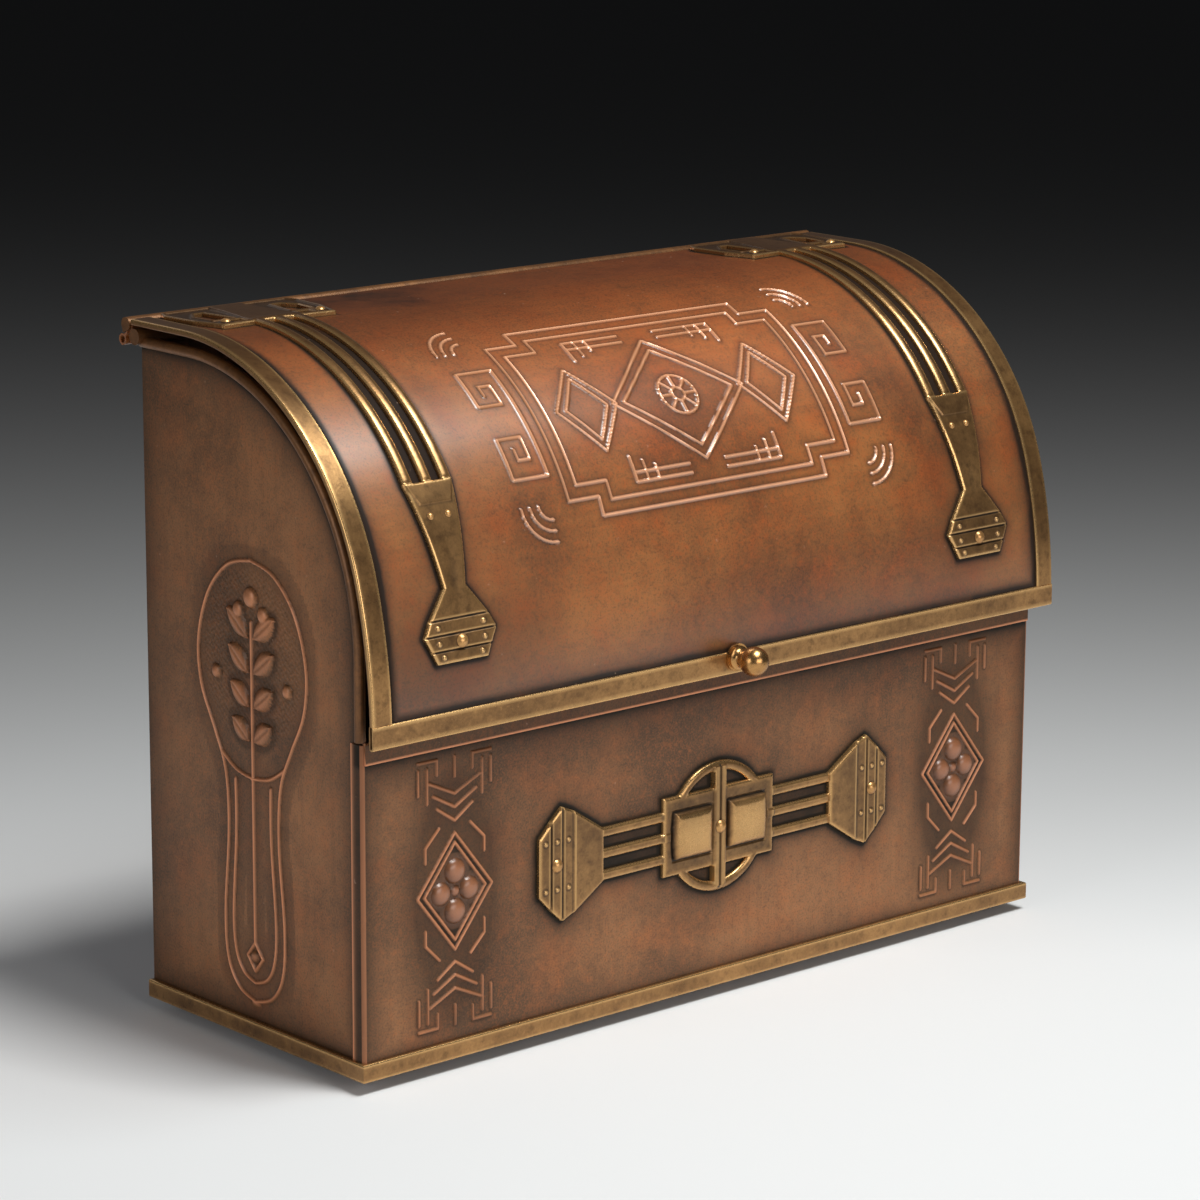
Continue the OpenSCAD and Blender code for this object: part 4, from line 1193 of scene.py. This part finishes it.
def make_front_edging():
    """The folded edging over the lid's lower edge, which leans with the sheet above the upright part."""
    y_out, y_in = LID_FRONT_Y - TRIM_T, LID_FRONT_Y + SHEET + TRIM_T
    z = LID_EDGE_Z
    top = z + TRIM_W
    lean = float(lid_place(0, TRIM_W, 0)[0][1] - LID_FRONT_Y)
    section = [(LID_FRONT_Y + lean, top), (y_out + lean + 0.3, top), (y_out + lean, top - 0.3)]
    section += [(y_out + lean * q, z + (TRIM_W - 1) * q + 0.8) for q in (0.8, 0.5, 0.2)]
    section += arc(y_out + TRIM_BEND, z + TRIM_BEND, TRIM_BEND, 180, 270, 6)
    section += arc(y_in - TRIM_BEND, z + TRIM_BEND, TRIM_BEND, 270, 360, 6)
    section += [(y_in, top), (LID_FRONT_Y + SHEET + lean, top)]
    section += [(LID_FRONT_Y + SHEET, z + TRIM_T), (LID_FRONT_Y, z + TRIM_T)]
    x = steps([(-LID_HALF, 0), (-LID_HALF + 0.5, 0.5), (LID_HALF - 0.5, 4.0), (LID_HALF, 0.5)])
    # Painted highlights along the edging's top edge and its lower outer edge.
    ridge = 0.8 * corner_marks(section, [(y_out + lean, top - 0.15), (y_out + 0.25, z + 0.25)], 0.7)
    made = sweep(
        "lower_edging", section, np.outer(x, ALONG_X), ALONG_Y, ALONG_Z, {"ridge": ridge},
        body="lid", slot="brass", finish=BRASS,
    )
    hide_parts("lid_trim_front")


def moulding_line(depth, height):
    """The moulding's profile as distances out from the wall and up, rounded at both outer edges."""
    r = MOULD_R
    line = [(0, 0), (depth - r, 0)] + arc(depth - r, r, r, 288, 360, 5)
    line += [(depth, z) for z in np.linspace(r + 0.8, height - r - 0.8, 4)]
    return np.array(line + arc(depth - r, height - r, r, 0, 90, 6) + [(0, height)])


def make_base_moulding():
    """The strip round the foot, mitred at the front corners."""
    height = MOULD_HIGH[2]
    depth = MOULD_HIGH[0] - SIDE_X
    side_line = moulding_line(depth, height)
    out_x = SIDE_X + side_line[:, 0]
    out_y = FRONT_Y - moulding_line(FRONT_Y - MOULD_LOW[1], height)[:, 0]
    back_to_front = np.linspace(BACK_Y, FRONT_Y, 30)[:-1]
    stations = [(-out_x, y) for y in back_to_front] + [(-out_x, out_y)]
    stations += [(x, out_y) for x in np.linspace(-SIDE_X, SIDE_X, 70)[1:-1]]
    stations += [(out_x, out_y)] + [(out_x, y) for y in np.linspace(FRONT_Y, BACK_Y, 30)[1:]]
    points = np.array([np.stack(np.broadcast_arrays(x, y, side_line[:, 1]), -1) for x, y in stations])
    # Painted highlights along the moulding's upper and lower outer edges.
    upper = corner_marks(side_line, [(depth - 0.2, height - 0.2)], 0.8)
    lower = corner_marks(side_line, [(depth - 0.2, 0.2)], 0.8)
    made = loft("foot_moulding", points, {"ridge": most(upper, 0.6 * lower)}, slot="brass", finish=BRASS)
    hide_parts("base_moulding")


# ---- Castings: an outline with heights over it ----


def onto_outline(inside, pu, pv, close):
    """Moves the points close to an outline onto it."""
    eps = 0.02
    for _ in range(3):
        qu, qv = pu[close], pv[close]
        value = inside(qu, qv)
        gu = (inside(qu + eps, qv) - inside(qu - eps, qv)) / (2 * eps)
        gv = (inside(qu, qv + eps) - inside(qu, qv - eps)) / (2 * eps)
        size = np.maximum(gu * gu + gv * gv, 0.2)
        pu[close] = qu - value * gu / size
        pv[close] = qv - value * gv / size


def casting(name, inside, height, to_space, u_range, v_range, cell, marks, **options):
    """A solid whose top follows height(u, v) wherever inside(u, v) is positive, with upright walls."""
    pu, pv = np.meshgrid(*(np.arange(low, high + cell, cell) for low, high in (u_range, v_range)))
    d = inside(pu, pv)
    close = np.abs(d) < 0.62 * cell
    onto_outline(inside, pu, pv, close)
    keep = ((d > -0.001) | close).ravel()
    pu, pv = pu.ravel(), pv.ravel()

    def middle_inside(faces):
        return inside(pu[faces].mean(1), pv[faces].mean(1)) > 0

    cells = grid_quads(np.arange(pu.size).reshape(d.shape))
    full = cells[keep[cells].all(1) & middle_inside(cells)]
    three = cells[keep[cells].sum(1) == 3]
    tris = three[keep[three]].reshape(-1, 3)
    tris = tris[middle_inside(tris)]
    used, back = np.unique(np.concatenate([full.ravel(), tris.ravel()]), return_inverse=True)
    full, tris = back[:full.size].reshape(-1, 4), back[full.size:].reshape(-1, 3)
    pu, pv = pu[used], pv[used]
    n = len(used)
    edges = np.concatenate([
        face[:, [i, (i + 1) % face.shape[1]]] for face in (full, tris) for i in range(face.shape[1])
    ])
    twins = edges[:, 1] * n + edges[:, 0]
    a, b = edges[~np.isin(edges[:, 0] * n + edges[:, 1], twins)].T
    points = np.concatenate([to_space(pu, pv, height(pu, pv)), to_space(pu, pv, np.zeros(n))])
    quads = np.concatenate([full, full[:, ::-1] + n, np.stack([b, a, a + n, b + n], -1)])
    rings = [list(t) for t in tris] + [list(t[::-1] + n) for t in tris]
    if volume(points - points.mean(0), quads) < 0:
        quads = quads[:, ::-1]
        rings = [ring[::-1] for ring in rings]
    all_marks = {key: np.tile(value(pu, pv), 2) for key, value in marks.items()}
    return piece(name, points, quads, rings, all_marks, **options)


def soft_edge(d, radius):
    """How far a surface falls below its full height near an outline, for a rounded edge."""
    return 0.45 * radius * np.clip(1 - d / radius, 0, 1) ** 2


def groove(distance):
    return GROOVE_DEPTH * np.clip(1 - (distance / (GROOVE_W / 2)) ** 2, 0, 1)


def horn_zones(px, ps):
    """Where a strap's head is a wing, and where it is the blade between them, from 0 to 1."""
    ax = np.abs(px)
    half = 12.5 - 4.0 * ramp(ps, S_FRONT, S_REAR - 4)
    head = ramp(ps, S_FRONT - 0.6, S_FRONT + 0.6)
    wing = head * ramp(ax, half - 0.6, half + 0.6)
    return wing, head - wing


def step_distance(px, ps):
    """Distance inside the raised step where a strap's waist widens into its fork."""
    return to_polygon(px, ps, both_sides([(STEP_HALF_W, S_STEP), (FORK_W / 2, S_SHOULDER)]))


def from_head_rivet(px, ps):
    return np.hypot(np.abs(px) - HORN_RIVET, ps - S_RIVET)


def with_dots(height, px, py, dots):
    for x, y in dots:
        height = height + dome(px, py, x, y, DOT_R, DOT_RISE)
    return height


def strap_height(px, ps):
    d = strap_distance(px, ps)
    on_prongs = ramp(ps, S_SHOULDER, S_SHOULDER + 1.5) * (1 - ramp(ps, S_FLAT - 3, S_FLAT + 1))
    height = STRAP_T - soft_edge(d, STRAP_SOFT_R) + on_prongs * 0.35 * ramp(d, 0.2, PRONG_W / 2)
    for s in STRAP_GROOVES:
        height = height - groove(np.abs(ps - s))
    height = height + 0.5 * ramp(step_distance(px, ps), -0.25, 0.25) * (ps < S_SHOULDER + 0.3)
    height = with_dots(height, px, ps, STRAP_DOTS) - 0.18 * patch((ps - S_WAIST - 6) / 12, px / 3)
    wing, blade = horn_zones(px, ps)
    seat = ramp(from_head_rivet(px, ps), 3.6, 2.8)
    height = height - 0.75 * wing * ramp(d, 1.0, 2.2) * (1 - seat)
    return height + 0.3 * blade * (1 - np.clip(np.abs(px) / 11, 0, 1) ** 2)


def strap_glow(px, ps):
    return 0.9 * ramp(ps, S_SHOULDER + 20, S_FLAT)


def strap_dark(px, ps):
    d = strap_distance(px, ps)
    wing, blade = horn_zones(px, ps)
    wing_edge = np.clip(1 - np.abs(2 * wing - 1), 0, 1) * (wing + blade > 0.5)
    return most(
        0.22 * ramp(d, 0.9, 2.6),
        *(blur(ps - s, 0.55) for s in STRAP_GROOVES),
        0.5 * blur(step_distance(px, ps) + 0.5, 0.6) * (ps < S_SHOULDER),
        0.45 * patch((ps - S_WAIST - 4) / 9, px / 2.5),
        *(0.55 * blur(np.hypot(px - x, ps - s) - 1.5, 0.45) for x, s in STRAP_DOTS),
        fading(np.hypot(px, ps - (S_OUTER_GROOVE + S_WIDE) / 2) - 2.7, 0.7, 0.9),
        *(fading(np.hypot(px - x, ps - s) - 1.5, 0.5, 0.8) for x, s in DIMPLES),
        # Painted shade: the head's wings and blade darker, and a dark line where each wing meets the blade.
        (0.7 * wing + 0.35 * blade) * ramp(d, 0.8, 2.0),
        0.8 * wing_edge,
        fading(from_head_rivet(px, ps) - 2.2, 0.8, 0.8),
    )


def strap_ridge(px, ps):
    wing, blade = horn_zones(px, ps)
    # Painted highlights along the outline and the windows, beside the grooves and on the dots, with rubbing;
    # weaker on the head.
    ridge = most(
        0.8 * blur(np.clip(strap_distance(px, ps), 0, None), 0.95),
        *(0.75 * blur(ps - s - 0.95, 0.35) for s in STRAP_GROOVES),
        *(0.8 * (np.hypot(px - x, ps - s) < 0.9) for x, s in STRAP_DOTS),
    )
    return ridge * (0.85 - 0.5 * (wing + blade))


def make_strap(side):
    def to_space(px, ps, h):
        return lid_place(px + side * STRAP_X, ps, GAP + h)[0]

    name = "strap_casting_right" if side > 0 else "strap_casting_left"
    made = casting(
        name, strap_distance, strap_height, to_space,
        (-HORN_W / 2 - 0.5, HORN_W / 2 + 0.5), (S_FOOT - 0.5, S_REAR + 0.5), STRAP_CELL,
        {"dark": strap_dark, "ridge": strap_ridge, "glow": strap_glow},
        body="lid", slot="brass", finish=BRASS, sharp=50,
    )
    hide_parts("strap_right" if side > 0 else "strap_left")


PAD_X = RIB_X + 1.4 + PAD_W / 2
PAD_H = PAD_W * 0.97
PAD_BOW = 0.9
MOUNT_DOTS = [
    (side * (MOUNT_W / 2 - x * BAND_W), z) for side in (-1, 1) for x in (0.5, 1.5, 2.5) for z in (-10, 10)
]
MOUNT_GROOVES = (END_WIDE, END_GROOVE_OUT)
MOUNT_RIVETS = (-MOUNT_W / 2 + 1.5 * BAND_W, 0, MOUNT_W / 2 - 1.5 * BAND_W)


def pad_distance(ax, pz):
    """Distance inside a pad: a square whose outer side bows out."""
    far = PAD_X + PAD_W / 2 + PAD_BOW
    square = to_box(ax, pz, PAD_X - PAD_W / 2, far, -PAD_H / 2, PAD_H / 2)
    return np.minimum(square, to_disc(ax, pz, far - 60, 0, 60))


def mount_height(px, pz):
    ax = np.abs(px)
    soft = soft_edge(mount_distance(px, pz), MOUNT_SOFT_R)
    full = MOUNT_T - soft
    plate, ring = plate_distance(ax, pz), ring_distance(px, pz)
    height = MOUNT_T - 0.35 - soft
    round_band = MOUNT_T - 0.4 + 0.5 * ramp(ring, -0.3, RING_BAND / 2) - soft
    height = np.where((ring > 0) & (plate < 0), most(height, round_band), height)
    height = np.where(plate > 0, most(height, full), height)
    height = np.where(ax > NECK_X, full + 0.35 * ramp(ax, END_STEP + 0.2, END_STEP - 0.2), height)
    tab = to_box(ax, pz, PAD_X + PAD_W / 2 + 1.5, PLATE_W / 2 + 1, -MOUNT_BAR_H / 2, MOUNT_BAR_H / 2)
    height = height + 0.4 * ramp(tab, -0.1, 0.4)
    pad_d = pad_distance(ax, pz)
    height = height - 0.5 * ramp(pad_d, -1.3, -0.8) * (ax > RIB_X)
    crown = (1 - ((ax - PAD_X) / (PAD_W / 2)) ** 2) * (1 - (pz / (PAD_H / 2)) ** 2)
    rise = np.sqrt(1 - (1 - np.clip(pad_d / 3.2, 0, 1)) ** 2)
    pad = MOUNT_T + (PAD_RISE - 0.2) * rise + 0.7 * np.clip(crown, 0, 1)
    height = np.where(pad_d > 0, most(height, pad), height)
    rib = MOUNT_T + 0.8 - 0.9 * np.clip(1 - (ax / 0.55) ** 2, 0, 1) - soft_edge(np.minimum(RIB_X - ax, 2), 0.8)
    on_rib = rib_distance(ax, pz) > 0
    height = np.where(on_rib, np.where(ax > 0.6, most(height, rib), rib), height)
    for x in MOUNT_GROOVES:
        beside = np.abs(ax - x)
        height = height - groove(beside) + 0.15 * blur(beside, 1.6) * (beside > 0.5)
    return with_dots(height, px, pz, MOUNT_DOTS)


def mount_dark(px, pz):
    ax = np.abs(px)
    pad_d = pad_distance(ax, pz)
    plate = to_box(ax, pz, RIB_X, PLATE_W / 2 - 1.2, -PLATE_H / 2 + 1.2, PLATE_H / 2 - 1.2)
    bar_end = ramp(ax, PLATE_W / 2 + 2, PLATE_W / 2) * ramp(ax, PLATE_W / 2 - 0.2, PLATE_W / 2 + 0.2)
    return most(
        0.24 * ramp(mount_distance(px, pz), 0.8, 2.4) * (pad_d < 0),
        *(blur(ax - x, 0.6) for x in MOUNT_GROOVES),
        # Painted shade with patina in the corner beside the end plates' step.
        0.6 * blur(ax - END_STEP - 0.8, 0.7) * (ax > NECK_X),
        blur(ax, 0.6) * (np.abs(pz) < RING_R - 1),
        # Painted shade with patina round each pad's foot.
        0.95 * blur(pad_d + 0.3, 0.7),
        0.4 * ramp(plate, 0, 1.6) * (pad_d < -0.6),
        0.5 * blur(ax - 4.0, 0.6) * (np.abs(pz) < RING_R - 3),
        0.5 * bar_end,
        *(0.6 * blur(np.hypot(px - x, pz - z) - 1.5, 0.5) for x, z in MOUNT_DOTS),
        *(fading(np.hypot(px - x, pz) - 2.7, 0.7, 0.9) for x in MOUNT_RIVETS),
    )


def mount_ridge(px, pz):
    ax = np.abs(px)
    crown = 1 - 0.5 * ((ax - PAD_X) / (PAD_W / 2)) ** 2 - 0.5 * (pz / (PAD_H / 2)) ** 2
    # Painted highlights along the outline, beside the grooves, at the step, on the rib's crests and on the
    # dots, with rubbing.
    return 0.8 * most(
        0.7 * blur(np.clip(mount_distance(px, pz), 0, None), 0.9),
        *(0.5 * blur(np.abs(ax - x) - 1.0, 0.35) for x in MOUNT_GROOVES),
        0.7 * blur(ax - END_STEP + 0.5, 0.4) * (ax > NECK_X),
        *(0.8 * (np.hypot(px - x, pz - z) < 0.9) for x, z in MOUNT_DOTS),
        0.35 * blur(ax - 1.6, 0.9) * (np.abs(pz) < RING_R - 1),
        # Painted highlight on each pad, brightest at the middle of its dome.
        (0.15 + 0.5 * crown) * ramp(pad_distance(ax, pz), 0.4, 2.0),
    )


def make_front_mount():
    def to_space(px, pz, h):
        return np.stack([px, FRONT_Y - h, pz + MOUNT_Z], -1)

    made = casting(
        "mount_casting", mount_distance, mount_height, to_space,
        (-MOUNT_W / 2 - 0.5, MOUNT_W / 2 + 0.5), (-RING_R - 0.5, RING_R + 0.5), MOUNT_CELL,
        {"dark": mount_dark, "ridge": mount_ridge}, slot="brass", finish=BRASS, sharp=50,
    )
    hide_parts("front_mount")


# ---- CAD pieces that keep their own shape ----


def dress(name, finish):
    made = nodes[name]
    made.data.materials.clear()
    made.data.materials.append(finish)


OWN_SHAPE = {
    INNER_COPPER: ("back_panel", "floor_panel"),
    BROWN_BRASS: ("rear_rod", "side_bead_left", "side_bead_right", "hinge_leaf", "lid_rear_bar"),
    BRASS: ("wall_spacers", "knob_washer", "knob_nut"),
    WORN_BRASS: ("mount_rivets", "strap_rivets"),
    TURNED_BRASS: ("knob",),
    PIN_STEEL: ("hinge_pin",),
}
for finish, names in OWN_SHAPE.items():
    for name in names:
        dress(name, finish)

make_lid_sheet()
make_lid_knuckles()
make_front_sheet()
make_front_hem()
for hand in (-1, 1):
    make_side_sheet(hand)
    make_side_flange(hand)
    make_side_trim(hand)
    make_strap(hand)
make_front_edging()
make_base_moulding()
make_front_mount()

# ---- Floor, light and camera, in metres ----

FLOOR_Z = -0.005
# Floor colours near and far; the fade between them is a painted falloff of the light.
FLOOR_NEAR = (230, 230, 230)
FLOOR_FAR = (3, 3, 3)
DEPTH_AXIS = (0.664, 0.748, 0.0)
WORLD_TONE = (140, 142, 146)
WORLD_STRENGTH = 0.17
CENTRE = (0, 0, 0.14)
LIGHTS = [
    ("key", (0.16, -0.66, 2.0), CENTRE, (0.5, 0.5), 26.5, (1.0, 0.985, 0.96)),
    ("shoulder_box", (0.14, -0.4, 1.02), (-0.15, -0.04, 0.2), (0.62, 0.34), 4.6, (0.88, 0.97, 1.0)),
    ("front", (-0.1, -2.1, 0.7), CENTRE, (1.4, 0.9), 14.5, (1.0, 0.99, 0.97)),
    ("left", (-1.8, -0.1, 0.6), CENTRE, (0.9, 0.9), 6.6, (0.95, 0.97, 1.0)),
    ("rear", (0.3, 2.0, 1.3), CENTRE, (1.2, 0.8), 1.5, (0.97, 0.98, 1.0)),
]
CAMERA_AZ = math.radians(-41.586)
CAMERA_EL = math.radians(13.188)
CAMERA_ROLL = math.radians(0.282)
CAMERA_FAR = 1.79113
CAMERA_TARGET = Vector((-0.01099, -0.0095, 0.15615))
CAMERA_LENS = 128.075


def make_floor():
    bpy.ops.mesh.primitive_circle_add(vertices=96, radius=9, fill_type="NGON", location=(0, 0, FLOOR_Z))
    floor = bpy.context.object
    floor.name = "floor"
    f = Finish("floor_painted_falloff")
    # The floor's colour fades from pale to nearly black with depth: a painted falloff of the light.
    depth = f.add(
        "ShaderNodeVectorMath", {"operation": "DOT_PRODUCT"}, {0: f.place(), 1: DEPTH_AXIS}, out="Value",
    )
    painted_falloff = depth.math("POWER", 0.23, (depth.between(0.0, 6.0) * 6.0) ** 1.2)
    colour = f.mix(painted_falloff, tone(*FLOOR_FAR), tone(*FLOOR_NEAR))
    floor.data.materials.append(f.surface(Base_Color=colour, Roughness=0.8))


def make_riser():
    """A low block that carries the box just off the floor, set back out of sight."""
    bpy.ops.mesh.primitive_cube_add(size=1, location=(0.01, 0.01, FLOOR_Z / 2))
    riser = bpy.context.object
    riser.name = "riser"
    riser.scale = (0.3, 0.08, -FLOOR_Z - 0.0004)
    f = Finish("riser")
    riser.data.materials.append(f.surface(Base_Color=tone(60, 60, 60), Roughness=0.8))


def area_light(name, place, target, size, watts, colour):
    data = bpy.data.lights.new(name, "AREA")
    data.shape = "RECTANGLE"
    data.size, data.size_y = size
    data.energy = watts
    data.color = colour
    light = bpy.data.objects.new(name, data)
    bpy.context.scene.collection.objects.link(light)
    light.location = place
    light.rotation_euler = (Vector(target) - Vector(place)).to_track_quat("-Z", "Y").to_euler()


def make_camera():
    back = Vector((
        math.sin(CAMERA_AZ) * math.cos(CAMERA_EL),
        -math.cos(CAMERA_AZ) * math.cos(CAMERA_EL),
        math.sin(CAMERA_EL),
    ))
    right = (-back).cross(Vector((0, 0, 1))).normalized()
    up = right.cross(-back)
    c, s = math.cos(CAMERA_ROLL), math.sin(CAMERA_ROLL)
    data = bpy.data.cameras.new("camera")
    data.lens = CAMERA_LENS
    data.sensor_width = 36
    data.clip_start, data.clip_end = 0.05, 50
    camera = bpy.data.objects.new("camera", data)
    bpy.context.scene.collection.objects.link(camera)
    axes = Matrix((c * right + s * up, c * up - s * right, back)).transposed().to_4x4()
    camera.matrix_world = Matrix.Translation(CAMERA_TARGET + CAMERA_FAR * back) @ axes
    bpy.context.scene.camera = camera


def make_world():
    world = bpy.data.worlds.new("studio")
    world.use_nodes = True
    background = world.node_tree.nodes["Background"]
    background.inputs["Color"].default_value = tone(*WORLD_TONE)
    background.inputs["Strength"].default_value = WORLD_STRENGTH
    bpy.context.scene.world = world


bpy.context.scene.view_settings.view_transform = "Standard"
make_floor()
make_riser()
make_world()
for light in LIGHTS:
    area_light(*light)
make_camera()

bpy.context.view_layer.update()
